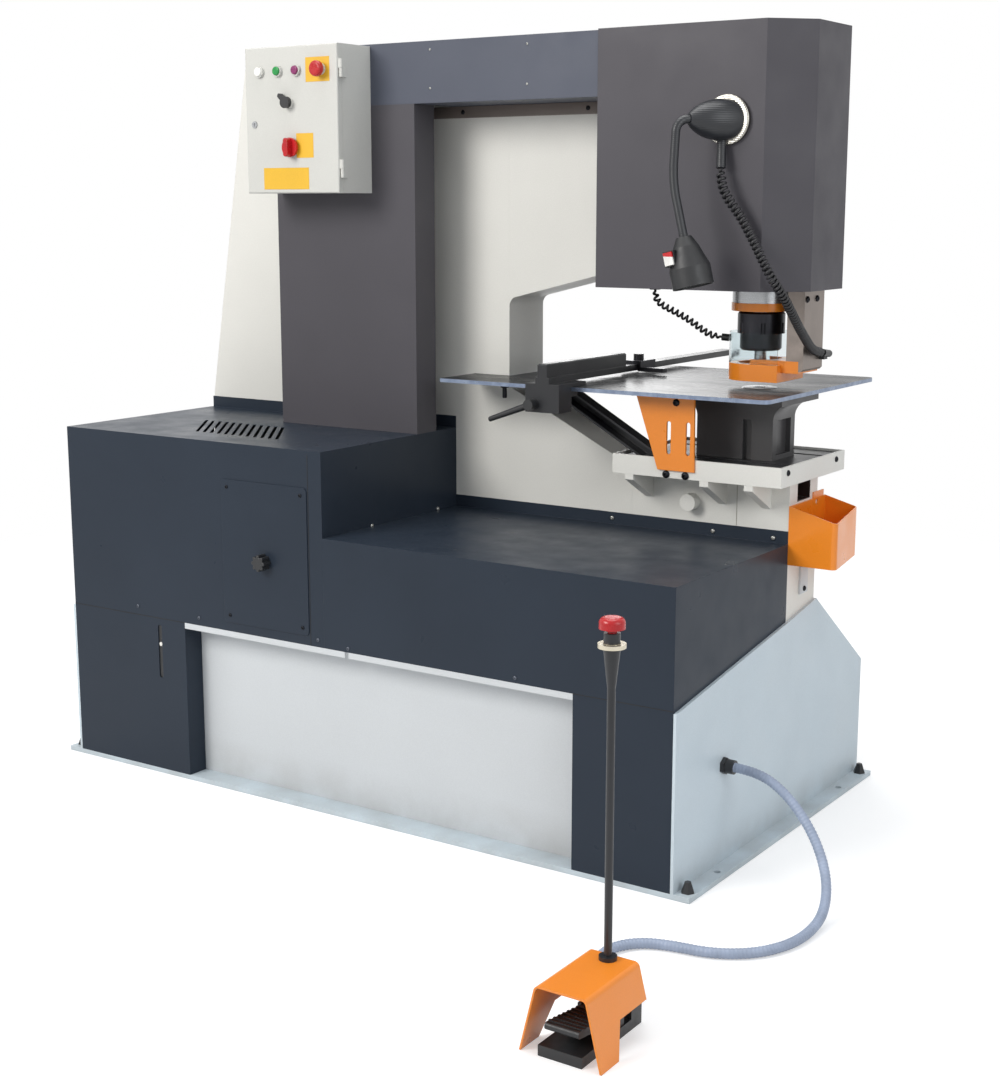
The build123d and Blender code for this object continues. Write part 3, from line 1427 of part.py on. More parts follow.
post_y = pedal_front_y + post_back
sleeve_z = post_z + post_sleeve_h
disc_z = sleeve_z + collar_disc_t
stop_head_z = disc_z + post_head_h
with BuildPart() as estop_post:
    with BuildSketch(Plane.XZ.offset(-post_y)):
        with BuildLine():
            Polyline(
                (pedal_x, pedal_hood_h), (pedal_x + post_foot_r, pedal_hood_h),
                (pedal_x + post_foot_r, pedal_hood_h + post_foot_t),
                (pedal_x + post_r, pedal_hood_h + post_foot_t),
                (pedal_x + post_r, post_z), (pedal_x + sleeve_top_r, sleeve_z),
                (pedal_x + collar_disc_r, sleeve_z),
                (pedal_x + collar_disc_r, disc_z), (pedal_x + post_head_r, disc_z),
                (pedal_x + post_head_r, stop_head_z), (pedal_x, stop_head_z), close=True,
            )
        make_face()
    revolve(axis=Axis((pedal_x, post_y, 0), (0, 0, 1)))
    stem_hole = mushroom_stem_r + slip
    rod(pedal_x, post_y, stop_head_z, stem_hole, -post_head_h, mode=Mode.SUBTRACT)
save(estop_post, "estop_post")

with BuildPart() as pedal_estop:
    cap_low_z = stop_head_z + mushroom_stand
    rod(pedal_x, post_y, cap_low_z, mushroom_stem_r, -mushroom_stand - post_head_h / 2)
    rod(pedal_x, post_y, cap_low_z, mushroom_r, mushroom_h)
    fillet(pedal_estop.edges().sort_by(Axis.Z)[-1], mushroom_h / 2)
save(pedal_estop, "pedal_estop")

with BuildPart() as treadle:
    rise = radians(treadle_rise)
    tread_plane = Plane((pedal_x, pin_y, pin_z), x_dir=(0, -cos(rise), sin(rise)), z_dir=(1, 0, 0))
    with BuildSketch(tread_plane):
        Circle(treadle_eye_r)
        with Locations((treadle_length / 2, 0)):
            Rectangle(treadle_length, treadle_t)
        with Locations((treadle_length, 0)):
            Circle(treadle_t / 2)
        rib_pitch = (treadle_length - 2 * treadle_eye_r) / treadle_ribs
        with Locations((treadle_length / 2 + treadle_eye_r, -treadle_t / 2)):
            with GridLocations(rib_pitch, 0, treadle_ribs, 1):
                Rectangle(treadle_rib_w, 2 * treadle_rib_h)
        Circle(treadle_pin_r + running, mode=Mode.SUBTRACT)
    extrude(amount=treadle_w / 2, both=True)
save(treadle, "treadle")


def cord_tube(route, diameter, name):
    """Tube along straight runs joined by the largest arcs that they allow."""
    points = [Vector(*point) for point in route]
    radii = []
    for before, here, after in zip(points, points[1:], points[2:]):
        turn = (here - before).get_angle(after - here)
        shorter = min((here - before).length, (after - here).length)
        radii.append(cord_share * shorter / tan(radians(turn / 2)))
    with BuildPart() as tube:
        with BuildLine() as path:
            FilletPolyline(*points, radius=radii)
        wire = path.wires()[0]
        with BuildSketch(Plane(points[0], z_dir=points[1] - points[0])) as section:
            Circle(diameter / 2)
        sweep(section.sketch, path=wire)
    print(name, "radii", [round(radius) for radius in radii], "length", round(wire.length))
    full = section.sketch.area * wire.length
    print(name, "volume over section times length", round(tube.part.volume / full, 4))
    save(tube, name)


# Conduit of the foot switch and the two curly cords
cord_tube(conduit_route, conduit_d, "foot_conduit")
cord_tube(lamp_cord_route, lamp_cord_d, "lamp_cord")
cord_tube(guard_cord_route, guard_cord_d, "guard_cord")
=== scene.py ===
import math

import bmesh
import bpy
from mathutils import Matrix, Vector


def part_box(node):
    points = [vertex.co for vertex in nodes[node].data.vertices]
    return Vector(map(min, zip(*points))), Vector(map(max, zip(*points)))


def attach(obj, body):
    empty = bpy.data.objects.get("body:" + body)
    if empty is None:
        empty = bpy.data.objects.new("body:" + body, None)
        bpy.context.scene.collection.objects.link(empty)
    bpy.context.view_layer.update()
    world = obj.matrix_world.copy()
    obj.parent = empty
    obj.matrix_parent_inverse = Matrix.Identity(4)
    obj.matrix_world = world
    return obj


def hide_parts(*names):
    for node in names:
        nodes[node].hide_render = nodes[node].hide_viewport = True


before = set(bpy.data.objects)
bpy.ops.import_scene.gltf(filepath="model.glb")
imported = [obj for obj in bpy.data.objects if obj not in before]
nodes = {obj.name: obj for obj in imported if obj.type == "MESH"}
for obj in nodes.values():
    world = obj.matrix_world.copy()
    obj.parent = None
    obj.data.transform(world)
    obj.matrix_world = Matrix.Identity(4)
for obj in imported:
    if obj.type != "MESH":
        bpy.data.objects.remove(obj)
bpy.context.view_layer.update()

# Places and sizes of added pieces are in millimetres, and MM takes them to metres
MM = 0.001
X, Y, Z = 0, 1, 2
LOW, HIGH = 0, 1
OUT_FRONT = (0, -1, 0)
OUT_BACK = (0, 1, 0)
OUT_RIGHT = (1, 0, 0)
DOWN = (0, 0, -1)

# Camera at the photograph's viewing angle, before the cords
CAMERA_AT = Vector((2.690, -3.819, 1.561))
CAMERA_AIM = Vector((0.043, 0.132, 0.617))
cam_data = bpy.data.cameras.new("camera")
cam_data.sensor_fit = "HORIZONTAL"
cam_data.sensor_width = 36
cam_data.lens = 61.78
cam_data.clip_end = 100
cam = bpy.data.objects.new("camera", cam_data)
bpy.context.collection.objects.link(cam)
cam.location = CAMERA_AT
cam.rotation_euler = (CAMERA_AIM - CAMERA_AT).to_track_quat("-Z", "Y").to_euler()
bpy.context.scene.camera = cam


def srgb(r, g, b):
    """Colour from display values of 0 to 255."""
    out = []
    for c in (r, g, b):
        c = c / 255
        out.append(c / 12.92 if c <= 0.04045 else ((c + 0.055) / 1.055) ** 2.4)
    return (*out, 1.0)


def tone(colour, k):
    """Colour made darker or lighter by a factor."""
    return (colour[0] * k, colour[1] * k, colour[2] * k, 1.0)


class Graph:
    """Small helper that adds and joins shader nodes."""

    def __init__(self, name):
        self.mat = bpy.data.materials.new(name)
        self.mat.use_nodes = True
        self.tree = self.mat.node_tree
        self.tree.nodes.clear()
        self.out = self.tree.nodes.new("ShaderNodeOutputMaterial")

    def add(self, kind, **values):
        node = self.tree.nodes.new(kind)
        for key, value in values.items():
            if key in node.inputs:
                node.inputs[key].default_value = value
            else:
                setattr(node, key, value)
        return node

    def link(self, a, b):
        self.tree.links.new(a, b)

    def feed(self, value, socket):
        """Join an output to a socket, or set the socket to a plain value."""
        if hasattr(value, "links"):
            self.link(value, socket)
        else:
            socket.default_value = value

    def coords(self):
        return self.add("ShaderNodeTexCoord").outputs["Object"]

    def surface(self):
        return self.add("ShaderNodeNewGeometry").outputs["Normal"]

    def noise(self, scale, detail=3.0, stretch=None, rough=0.5):
        node = self.add("ShaderNodeTexNoise", Scale=scale, Detail=detail, Roughness=rough)
        source = self.coords()
        if stretch:
            mapping = self.add("ShaderNodeMapping", Scale=stretch)
            self.link(source, mapping.inputs["Vector"])
            source = mapping.outputs["Vector"]
        self.link(source, node.inputs["Vector"])
        return node.outputs["Fac"]

    def ramp(self, fac, stops):
        node = self.add("ShaderNodeValToRGB")
        ramp = node.color_ramp
        while len(ramp.elements) < len(stops):
            ramp.elements.new(0.5)
        for element, (pos, colour) in zip(ramp.elements, stops):
            element.position = pos
            element.color = colour
        self.link(fac, node.inputs["Fac"])
        return node.outputs["Color"]

    def mix(self, fac, a, b):
        node = self.add("ShaderNodeMix", data_type="RGBA")
        self.feed(fac, node.inputs[0])
        self.feed(a, node.inputs[6])
        self.feed(b, node.inputs[7])
        return node.outputs[2]

    def math(self, operation, a, b=0.0):
        node = self.add("ShaderNodeMath", operation=operation)
        self.feed(a, node.inputs[0])
        self.feed(b, node.inputs[1])
        return node.outputs[0]

    def span(self, value, low, high, to_low, to_high):
        """Value mapped from one range to another, and held within it."""
        node = self.add("ShaderNodeMapRange")
        self.link(value, node.inputs["Value"])
        node.inputs["From Min"].default_value = low
        node.inputs["From Max"].default_value = high
        node.inputs["To Min"].default_value = to_low
        node.inputs["To Max"].default_value = to_high
        return node.outputs["Result"]

    def bump(self, height, strength, distance, normal=None):
        node = self.add("ShaderNodeBump", Strength=strength, Distance=distance)
        self.link(height, node.inputs["Height"])
        if normal is not None:
            self.link(normal, node.inputs["Normal"])
        return node.outputs["Normal"]

    def part(self, vector, letter):
        split = self.add("ShaderNodeSeparateXYZ")
        self.link(vector, split.inputs[0])
        return split.outputs[letter]

    def between(self, letter, low, high):
        """Mask that is 1 between two places along an axis."""
        place = self.part(self.coords(), letter)
        above = self.math("GREATER_THAN", place, low)
        return self.math("MULTIPLY", above, self.math("LESS_THAN", place, high))

    def inside(self, low, high):
        """Mask that is 1 between two corners, a hair beyond their faces."""
        hair = 0.002
        mask = None
        for letter, a, b in zip("XYZ", low, high):
            within = self.between(letter, a - hair, b + hair)
            mask = within if mask is None else self.math("MULTIPLY", mask, within)
        return mask

    def rounded(self, radius):
        """Normal rounded over sharp edges, and a mask that is 1 along them."""
        bevel = self.add("ShaderNodeBevel", samples=4, Radius=radius)
        dot = self.add("ShaderNodeVectorMath", operation="DOT_PRODUCT")
        self.link(bevel.outputs["Normal"], dot.inputs[0])
        self.link(self.surface(), dot.inputs[1])
        return bevel.outputs["Normal"], self.span(dot.outputs["Value"], 0.97, 0.8, 0.0, 1.0)

    def finish(self, shader):
        self.link(shader, self.out.inputs["Surface"])
        return self.mat


COVER = srgb(43, 51, 62)
CLAD = srgb(79, 77, 82)
# Bluish copy of the cladding colour for the beam: a painted reflection
BEAM_REFLECTION = srgb(80, 84, 96)
CREAM = srgb(226, 225, 219)
PANEL = srgb(203, 207, 210)
PALE = srgb(202, 215, 223)
ORANGE = srgb(240, 138, 30)
GREY = srgb(200, 200, 195)
# Brownish tint that darkens the paint towards the bottom
BLACK = srgb(34, 35, 38)
# Near-black brown painted as shade inside the chute
BOTTOM_TINT = srgb(120, 108, 92)
CHUTE_SHADE = srgb(46, 34, 30)
# Radius of the rounded edges, and width of the band along them that is lightened by wear and painted
# highlight
EDGE_RADIUS = 0.0015


def paint(name, colour, rough=0.42, peel=0.25, dirt=0.12, coat=0.0, gloss=0.5, wear_and_highlight=1.6,
          bottom_tint_z=None, painted_shade_box=None):
    """Paint with cloudy colour, orange peel, uneven gloss, faint scuffs, rounded edges lightened by wear
    and by a painted highlight, and, when given, darker patches towards the bottom and painted shade inside
    a box.
    """
    g = Graph(name)
    round_normal, edge_mask = g.rounded(EDGE_RADIUS)
    base = g.ramp(g.noise(3.1, 4.0), [(0.3, tone(colour, 1 - dirt)), (0.7, tone(colour, 1 + dirt * 0.7))])
    base = g.mix(g.span(g.noise(420.0, 2.0), 0.35, 0.75, 0.0, 0.16), base, tone(colour, 1.35))
    scuff = g.noise(38.0, 6.0, (0.5, 0.5, 5.0), 0.72)
    base = g.mix(g.span(scuff, 0.66, 0.78, 0.0, 0.35), base, tone(colour, 1.25))
    # Darker brownish patches towards the bottom
    if bottom_tint_z:
        low = g.span(g.part(g.coords(), "Z"), bottom_tint_z[LOW], bottom_tint_z[HIGH], 0.30, 0.0)
        patch = g.math("MULTIPLY", low, g.span(g.noise(9.0, 5.0), 0.35, 0.65, 0.2, 1.0))
        base = g.mix(patch, base, BOTTOM_TINT)
    # Painted shade: the paint inside the given box is turned to the near-black brown
    if painted_shade_box:
        base = g.mix(g.inside(*painted_shade_box), base, CHUTE_SHADE)
    # Edges lightened partly by real wear and partly as a painted highlight
    rubbed_and_highlit = g.math("MULTIPLY", edge_mask, g.span(g.noise(24.0, 5.0), 0.35, 0.65, 0.15, 0.8))
    base = g.mix(rubbed_and_highlit, base, tone(colour, wear_and_highlight))
    shade = g.add("ShaderNodeBsdfPrincipled")
    shade.inputs["Specular IOR Level"].default_value = gloss
    shade.inputs["Coat Weight"].default_value = coat
    shade.inputs["Coat Roughness"].default_value = 0.12
    g.link(base, shade.inputs["Base Color"])
    g.link(g.span(g.noise(11.0, 5.0), 0.3, 0.7, rough - 0.07, rough + 0.09), shade.inputs["Roughness"])
    g.link(g.bump(g.noise(900.0, 2.0), peel, 0.0004, round_normal), shade.inputs["Normal"])
    return g.finish(shade.outputs[0])


def steel(name, colour, rough=0.3, stretch=(1.0, 1.0, 60.0), oil=0.25):
    """Machined steel with turning or milling lines and oily patches."""
    g = Graph(name)
    lines = g.noise(30.0, 4.0, stretch)
    base = g.ramp(lines, [(0.3, tone(colour, 0.82)), (0.7, tone(colour, 1.12))])
    film = g.span(g.noise(14.0, 5.0), 0.45, 0.7, 0.0, oil)
    base = g.mix(film, base, tone(colour, 0.45))
    shade = g.add("ShaderNodeBsdfPrincipled", Metallic=0.92)
    g.link(base, shade.inputs["Base Color"])
    g.link(g.span(lines, 0.3, 0.7, rough - 0.06, rough + 0.1), shade.inputs["Roughness"])
    g.link(g.bump(lines, 0.12, 0.0003), shade.inputs["Normal"])
    return g.finish(shade.outputs[0])


def plastic(name, colour, rough=0.35, grain=0.15, glow=0.0):
    """Moulded plastic or rubber with fine grain and uneven sheen."""
    g = Graph(name)
    base = g.ramp(g.noise(22.0, 3.0), [(0.3, tone(colour, 0.88)), (0.7, tone(colour, 1.12))])
    shade = g.add("ShaderNodeBsdfPrincipled")
    g.link(base, shade.inputs["Base Color"])
    g.link(g.span(g.noise(60.0, 3.0), 0.3, 0.7, rough - 0.06, rough + 0.1), shade.inputs["Roughness"])
    if glow:
        shade.inputs["Emission Color"].default_value = colour
        shade.inputs["Emission Strength"].default_value = glow
    g.link(g.bump(g.noise(700.0, 2.0), grain, 0.0003), shade.inputs["Normal"])
    return g.finish(shade.outputs[0])


def clear(name):
    """Clear plastic tube with faint scratches."""
    g = Graph(name)
    shade = g.add("ShaderNodeBsdfPrincipled")
    shade.inputs["Base Color"].default_value = srgb(228, 236, 238)
    shade.inputs["Transmission Weight"].default_value = 1.0
    shade.inputs["IOR"].default_value = 1.2
    scratch = g.noise(45.0, 6.0, (1.0, 1.0, 6.0))
    g.link(g.span(scratch, 0.4, 0.75, 0.04, 0.2), shade.inputs["Roughness"])
    g.link(g.bump(g.noise(160.0, 2.0), 0.05, 0.0002), shade.inputs["Normal"])
    return g.finish(shade.outputs[0])


def table_material():
    """Glossy black top with oily smears, and bare metal edges whose bright bluish colour is a painted
    highlight.
    """
    g = Graph("table_gloss")
    smear = g.noise(7.0, 5.0, (1.0, 2.2, 1.0))
    top = g.ramp(smear, [(0.3, srgb(12, 13, 16)), (0.7, srgb(26, 28, 33))])
    # Bare metal sides, their bright bluish colour a painted highlight
    bare_edge_and_highlight = g.ramp(g.noise(60.0, 4.0), [(0.3, srgb(122, 134, 156)), (0.7, srgb(146, 158, 178))])
    flat = g.span(g.math("ABSOLUTE", g.part(g.surface(), "Z")), 0.4, 0.6, 0.0, 1.0)
    shade = g.add("ShaderNodeBsdfPrincipled")
    g.link(g.mix(flat, bare_edge_and_highlight, top), shade.inputs["Base Color"])
    g.link(g.span(flat, 0.0, 1.0, 0.9, 0.0), shade.inputs["Metallic"])
    g.link(g.span(smear, 0.3, 0.7, 0.2, 0.36), shade.inputs["Roughness"])
    shade.inputs["Specular IOR Level"].default_value = 0.1
    g.link(g.bump(g.noise(300.0, 2.0), 0.06, 0.0003), shade.inputs["Normal"])
    return g.finish(shade.outputs[0])


def lamp_arm_material():
    """Black bell and neck with rings on the flexible part, and a chrome base ring."""
    ring_y = -0.1485
    blur = 0.0003
    g = Graph("lamp_arm_look")
    ring = g.span(g.part(g.coords(), "Y"), ring_y - blur, ring_y + blur, 0.0, 1.0)
    base = g.mix(ring, srgb(36, 38, 42), srgb(168, 165, 158))
    shade = g.add("ShaderNodeBsdfPrincipled")
    g.link(base, shade.inputs["Base Color"])
    g.link(ring, shade.inputs["Metallic"])
    cloud = g.span(g.noise(40.0), 0.3, 0.7, 0.0, 0.1)
    g.link(g.math("ADD", cloud, g.span(ring, 0.0, 1.0, 0.3, 0.18)), shade.inputs["Roughness"])
    wave = g.add("ShaderNodeTexWave", Scale=70.0, Distortion=0.0)
    wave.bands_direction = "Z"
    g.link(g.coords(), wave.inputs["Vector"])
    g.link(g.bump(wave.outputs["Fac"], 0.25, 0.001), shade.inputs["Normal"])
    return g.finish(shade.outputs[0])


def banded(name, colour, other, low, high, rough, metal=0.0):
    """Plastic that turns to another finish between two heights."""
    g = Graph(name)
    band = g.between("Z", low, high)
    grain = g.noise(50.0, 3.0)
    base = g.ramp(grain, [(0.3, tone(colour, 0.88)), (0.7, tone(colour, 1.12))])
    shade = g.add("ShaderNodeBsdfPrincipled")
    g.link(g.mix(band, base, other), shade.inputs["Base Color"])
    if metal:
        g.link(g.math("MULTIPLY", band, metal), shade.inputs["Metallic"])
    g.link(g.span(grain, 0.3, 0.7, rough - 0.05, rough + 0.1), shade.inputs["Roughness"])
    g.link(g.bump(g.noise(600.0, 2.0), 0.12, 0.0003), shade.inputs["Normal"])
    return g.finish(shade.outputs[0])


# Corners of the chute's inside, where painted shade darkens the cream, and heights of the post's bright
# ring and the rocker's red half.
# These are in metres
CHUTE = ((0.790, 0.0955, 0.8325), (0.9597, 0.1685, 0.8865))
RING_DROP = 0.0285
RING_HIGH = 0.0088
ROCKER_HALF = 0.012
ring_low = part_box("estop_post")[HIGH][Z] - RING_DROP
rocker_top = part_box("lamp_switch")[HIGH][Z]

cover_mat = paint("cover_paint", COVER, 0.34, 0.22, 0.07, gloss=0.16, wear_and_highlight=1.9)
clad_mat = paint("clad_paint", CLAD, 0.42, 0.3, 0.06, gloss=0.2, wear_and_highlight=1.5)
# The beam's bluish paint is a painted reflection on the same cladding paint as the column
beam_reflection_mat = paint("beam_paint", BEAM_REFLECTION, 0.42, 0.3, 0.06, gloss=0.25, wear_and_highlight=1.5)
cream_mat = paint("cream_paint", CREAM, 0.42, 0.14, 0.03, wear_and_highlight=1.1, painted_shade_box=CHUTE)
panel_mat = paint("panel_paint", PANEL, 0.42, 0.14, 0.03, bottom_tint_z=(0.0, 0.12), wear_and_highlight=1.1)
pale_mat = paint("pale_paint", PALE, 0.45, 0.14, 0.05, bottom_tint_z=(0.0, 0.1), wear_and_highlight=1.15)
orange_mat = paint("orange_paint", ORANGE, 0.33, 0.12, 0.05, coat=0.3, wear_and_highlight=1.15)
grey_mat = paint("grey_paint", GREY, 0.4, 0.25, 0.03, wear_and_highlight=1.08)
black_mat = paint("black_paint", BLACK, 0.36, 0.16, 0.12, gloss=0.4, wear_and_highlight=2.2)
seam_mat = paint("seam_black", srgb(20, 22, 26), 0.7, 0.1, 0.1)
weld_mat = paint("weld_line", srgb(168, 164, 154), 0.6, 0.1, 0.1)
# Taupe for the strip under the beam: cream painted in the beam's shade
lining_shade_mat = paint("lining_taupe", srgb(118, 108, 102), 0.55, 0.2, 0.06)
die_mat = paint("die_grey", srgb(72, 71, 72), 0.36, 0.16, 0.14, gloss=0.4, wear_and_highlight=1.7)
yellow_mat = paint("yellow_plate", srgb(226, 178, 46), 0.4, 0.08, 0.05, wear_and_highlight=1.1)
plate_mat = steel("hanger_steel", srgb(140, 131, 125), 0.38, (1.0, 40.0, 1.0), 0.2)
steel_mat = steel("machined_steel", srgb(178, 180, 182), 0.28)
dark_steel_mat = steel("black_steel", srgb(52, 52, 56), 0.34, (60.0, 1.0, 1.0), 0.3)
screw_mat = steel("screw_black", srgb(40, 41, 45), 0.4, (1.0, 60.0, 1.0), 0.2)
zinc_mat = steel("screw_zinc", srgb(168, 168, 164), 0.34, (1.0, 60.0, 1.0), 0.1)
cover_screw_mat = steel("screw_grey", srgb(96, 101, 110), 0.42, (1.0, 60.0, 1.0), 0.2)
chrome_mat = steel("chrome", srgb(222, 224, 228), 0.12, (1.0, 1.0, 1.0), 0.05)
black_plastic = plastic("black_plastic", srgb(34, 35, 37), 0.42)
white_plastic = plastic("white_plastic", srgb(236, 234, 228), 0.25)
lamp_lens = plastic("lamp_lens", srgb(240, 240, 236), 0.15, glow=0.05)
green_plastic = plastic("green_plastic", srgb(32, 138, 66), 0.22)
red_plastic = plastic("red_plastic", srgb(180, 22, 28), 0.25)
violet_plastic = plastic("violet_plastic", srgb(128, 44, 96), 0.25)
rubber_mat = plastic("cord_rubber", srgb(28, 28, 31), 0.4, 0.1)
conduit_mat = plastic("conduit_grey", srgb(150, 162, 184), 0.4, 0.12)
clear_mat = clear("clear_plastic")
post_mat = banded("post_black", srgb(32, 34, 38), srgb(214, 206, 186), ring_low, ring_low + RING_HIGH,
                  0.34, 0.9)
rocker_mat = banded("rocker_white", srgb(238, 236, 232), srgb(196, 36, 40), rocker_top - ROCKER_HALF,
                    rocker_top, 0.25)

looks = {
    cover_mat: ["power_pack_cover", "low_cover", "rear_cover", "pillar_covers", "access_panel"],
    clad_mat: ["column_cover", "head_hood"],
    beam_reflection_mat: ["beam_cover"],
    cream_mat: ["c_frame", "bolster_tray"],
    panel_mat: ["front_panel"],
    pale_mat: ["base_frame"],
    black_mat: ["levelling_caps", "bolster_plate", "table_brace", "fence", "valve_block"],
    orange_mat: ["head_collar", "stripper", "table_brackets", "slug_bin", "pedal_guard"],
    grey_mat: ["cabinet_box", "cabinet_door", "oil_tank", "motor"],
    plate_mat: ["stripper_hanger"],
    steel_mat: ["cylinder_barrel", "ram", "punch", "die", "pump", "drive_coupling", "pressure_pipe",
                "door_lock"],
    dark_steel_mat: ["punch_nut", "fence_stop"],
    die_mat: ["die_holder"],
    black_plastic: ["cord_plugs", "clamp_lever", "lamp_head", "panel_knob", "conduit_gland",
                    "selector_knob", "pedal_base", "treadle"],
    post_mat: ["estop_post"],
    lamp_lens: ["power_lamp"],
    rocker_mat: ["lamp_switch"],
    green_plastic: ["start_button"],
    violet_plastic: ["stop_button"],
    red_plastic: ["cabinet_estop", "main_switch", "pedal_estop"],
    clear_mat: ["punch_guard"],
    table_material(): ["table_plate"],
    lamp_arm_material(): ["lamp_arm"],
}
for material, names in looks.items():
    for name in names:
        mesh = nodes[name].data
        mesh.materials.clear()
        mesh.materials.append(material)


def metres(place):
    return [c * MM for c in place]


def add_object(name, data):
    obj = bpy.data.objects.new(name, data)
    bpy.context.collection.objects.link(obj)
    return obj


def piece(name, bm, material, body):
    """Finish a bmesh as a smooth object with crisp edges that rides on a body."""
    mesh = bpy.data.meshes.new(name)
    bm.to_mesh(mesh)
    bm.free()
    mesh.materials.append(material)
    for polygon in mesh.polygons:
        polygon.use_smooth = True
    obj = add_object(name, mesh)
    crisp = obj.modifiers.new("edges", "EDGE_SPLIT")
    crisp.split_angle = math.radians(38)
    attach(obj, body)
    return obj


def smooth_curve(name, points, resolution):
    """Smooth open line with points in metres as its control points."""
    data = bpy.data.curves.new(name, "CURVE")
    data.dimensions = "3D"
    spline = data.splines.new("NURBS")
    spline.points.add(len(points) - 1)
    for point, place in zip(spline.points, points):
        point.co = (*place, 1.0)
    spline.order_u = 3
    spline.use_endpoint_u = True
    data.resolution_u = resolution
    return add_object(name, data)


def curve_mesh(obj):
    depsgraph = bpy.context.evaluated_depsgraph_get()
    return bpy.data.meshes.new_from_object(obj.evaluated_get(depsgraph))


def curve_line(obj):
    """Points along a curve's own smooth line, and the length up to each."""
    mesh = curve_mesh(obj)
    line = [v.co.copy() for v in mesh.vertices]
    bpy.data.meshes.remove(mesh)
    sums = [0.0]
    for a, b in zip(line, line[1:]):
        sums.append(sums[-1] + (b - a).length)
    return line, sums


def route_line(name, route):
    """Smooth line of a route in millimetres."""
    curve = smooth_curve(name, [metres(place) for place in route], 16)
    line, sums = curve_line(curve)
    bpy.data.objects.remove(curve)
    return line, sums


def along(line, sums, s):
    """Point and direction at a length along a line."""
    s = min(max(s, 0.0), sums[-1])
    k = 0
    while k < len(sums) - 2 and sums[k + 1] < s:
        k += 1
    part = (s - sums[k]) / max(sums[k + 1] - sums[k], 1e-9)
    return line[k].lerp(line[k + 1], part), (line[k + 1] - line[k]).normalized()


def across(side, way):
    """Unit vector nearest to a side that is square to a direction."""
    return (side - way * side.dot(way)).normalized()


def curly_cord(name, route, wire_r, coil_r, pitches, lead, tail, node):
    """Curly cord: a wire wound round the route, from one pitch to another, straight at its two ends."""
    points_per_turn = 14
    line, sums = route_line(name + "_route", route)
    total = sums[-1]
    steps = int(total / min(pitches) * points_per_turn)
    side = Vector((0, 0, 1)).cross(line[1] - line[0]).normalized()
    if side.length < 0.5:
        side = Vector((1, 0, 0))
    wound = []
    turn = 0.0
    for k in range(steps + 1):
        s = total * k / steps
        turn += 2 * math.pi * total / steps / (pitches[0] + (pitches[1] - pitches[0]) * s / total)
        spot, way = along(line, sums, s)
        side = across(side, way)
        grow = min(1.0, s / lead, (total - s) / tail) if 0 < s < total else 0.0
        grow = grow * grow * (3 - 2 * grow)
        arm = side * math.cos(turn) + way.cross(side) * math.sin(turn)
        wound.append(spot + arm * coil_r * MM * grow)
    helix = smooth_curve(name + "_helix", wound, 2)
    path, lengths = curve_line(helix)
    helix.data.bevel_depth = wire_r * MM
    helix.data.bevel_resolution = 3
    helix.data.use_fill_caps = True
    mesh = curve_mesh(helix)
    bpy.data.objects.remove(helix)
    mesh.materials.append(rubber_mat)
    for polygon in mesh.polygons:
        polygon.use_smooth = True
    obj = add_object(name, mesh)
    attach(obj, "machine")
    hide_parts(node)


def ribbed_conduit(name, route, radii, step, node):
    """Flexible conduit with fine rings along its smooth line."""
    sides = 14
    line, sums = route_line(name + "_route", route)
    count = int(sums[-1] / step)
    bm = bmesh.new()
    side = Vector((0, 0, 1))
    last = None
    for k in range(count + 1):
        spot, way = along(line, sums, sums[-1] * k / count)
        side = across(side, way)
        other = way.cross(side)
        radius = radii[k % len(radii)]
        ring = []
        for j in range(sides):
            a = 2 * math.pi * j / sides
            ring.append(bm.verts.new(spot + (side * math.cos(a) + other * math.sin(a)) * radius))
        if last:
            for j in range(sides):
                after = (j + 1) % sides
                bm.faces.new([last[j], last[after], ring[after], ring[j]])
        else:
            bm.faces.new(list(reversed(ring)))
        last = ring
    bm.faces.new(last)
    obj = piece(name, bm, conduit_mat, "machine")
    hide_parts(node)


# Cords, each with its route in millimetres
lamp_route = [
    (857, -166, 1640), (861, -174, 1606), (880, -174, 1570), (909, -166, 1532), (936, -162, 1486),
    (962, -160, 1438), (986, -156, 1392), (1002, -122, 1350), (1004, -82, 1315), (1001, -29, 1275),
    (995, 30, 1240), (990, 79, 1213), (987, 120, 1203), (985, 160, 1198),
]
guard_route = [
    (566, 60, 1345), (566, 60, 1325), (584, 62, 1307), (616, 66, 1293), (655, 72, 1274),
    (690, 82, 1248), (714, 91, 1232), (738, 99, 1230),
]
conduit_route = [
    (998, -299, 255), (1058, -299, 255), (1130, -311, 226), (1197, -330, 172), (1250, -361, 112),
    (1287, -409, 60), (1307, -476, 22), (1311, -560, 12), (1299, -645, 12), (1255, -722, 12),
    (1180, -770, 12), (1098, -780, 12), (1036, -800, 12), (996, -848, 12), (990, -908, 12),
    (1020, -956, 12), (1072, -974, 12), (1113, -992, 14), (1140, -1022, 18), (1151, -1058, 20),
    (1151, -1085, 20),
]
RIB_RADII = (0.0118, 0.0112, 0.0106, 0.0112)
RIB_STEP = 0.0022
curly_cord("lamp_cord_look", lamp_route, wire_r=3.6, coil_r=8.2, pitches=(0.0125, 0.0078), lead=0.02,
           tail=0.02, node="lamp_cord")
curly_cord("guard_cord_look", guard_route, wire_r=3.2, coil_r=6.6, pitches=(0.0145, 0.0145), lead=0.015,
           tail=0.02, node="guard_cord")
ribbed_conduit("conduit_look", conduit_route, RIB_RADII, RIB_STEP, "foot_conduit")

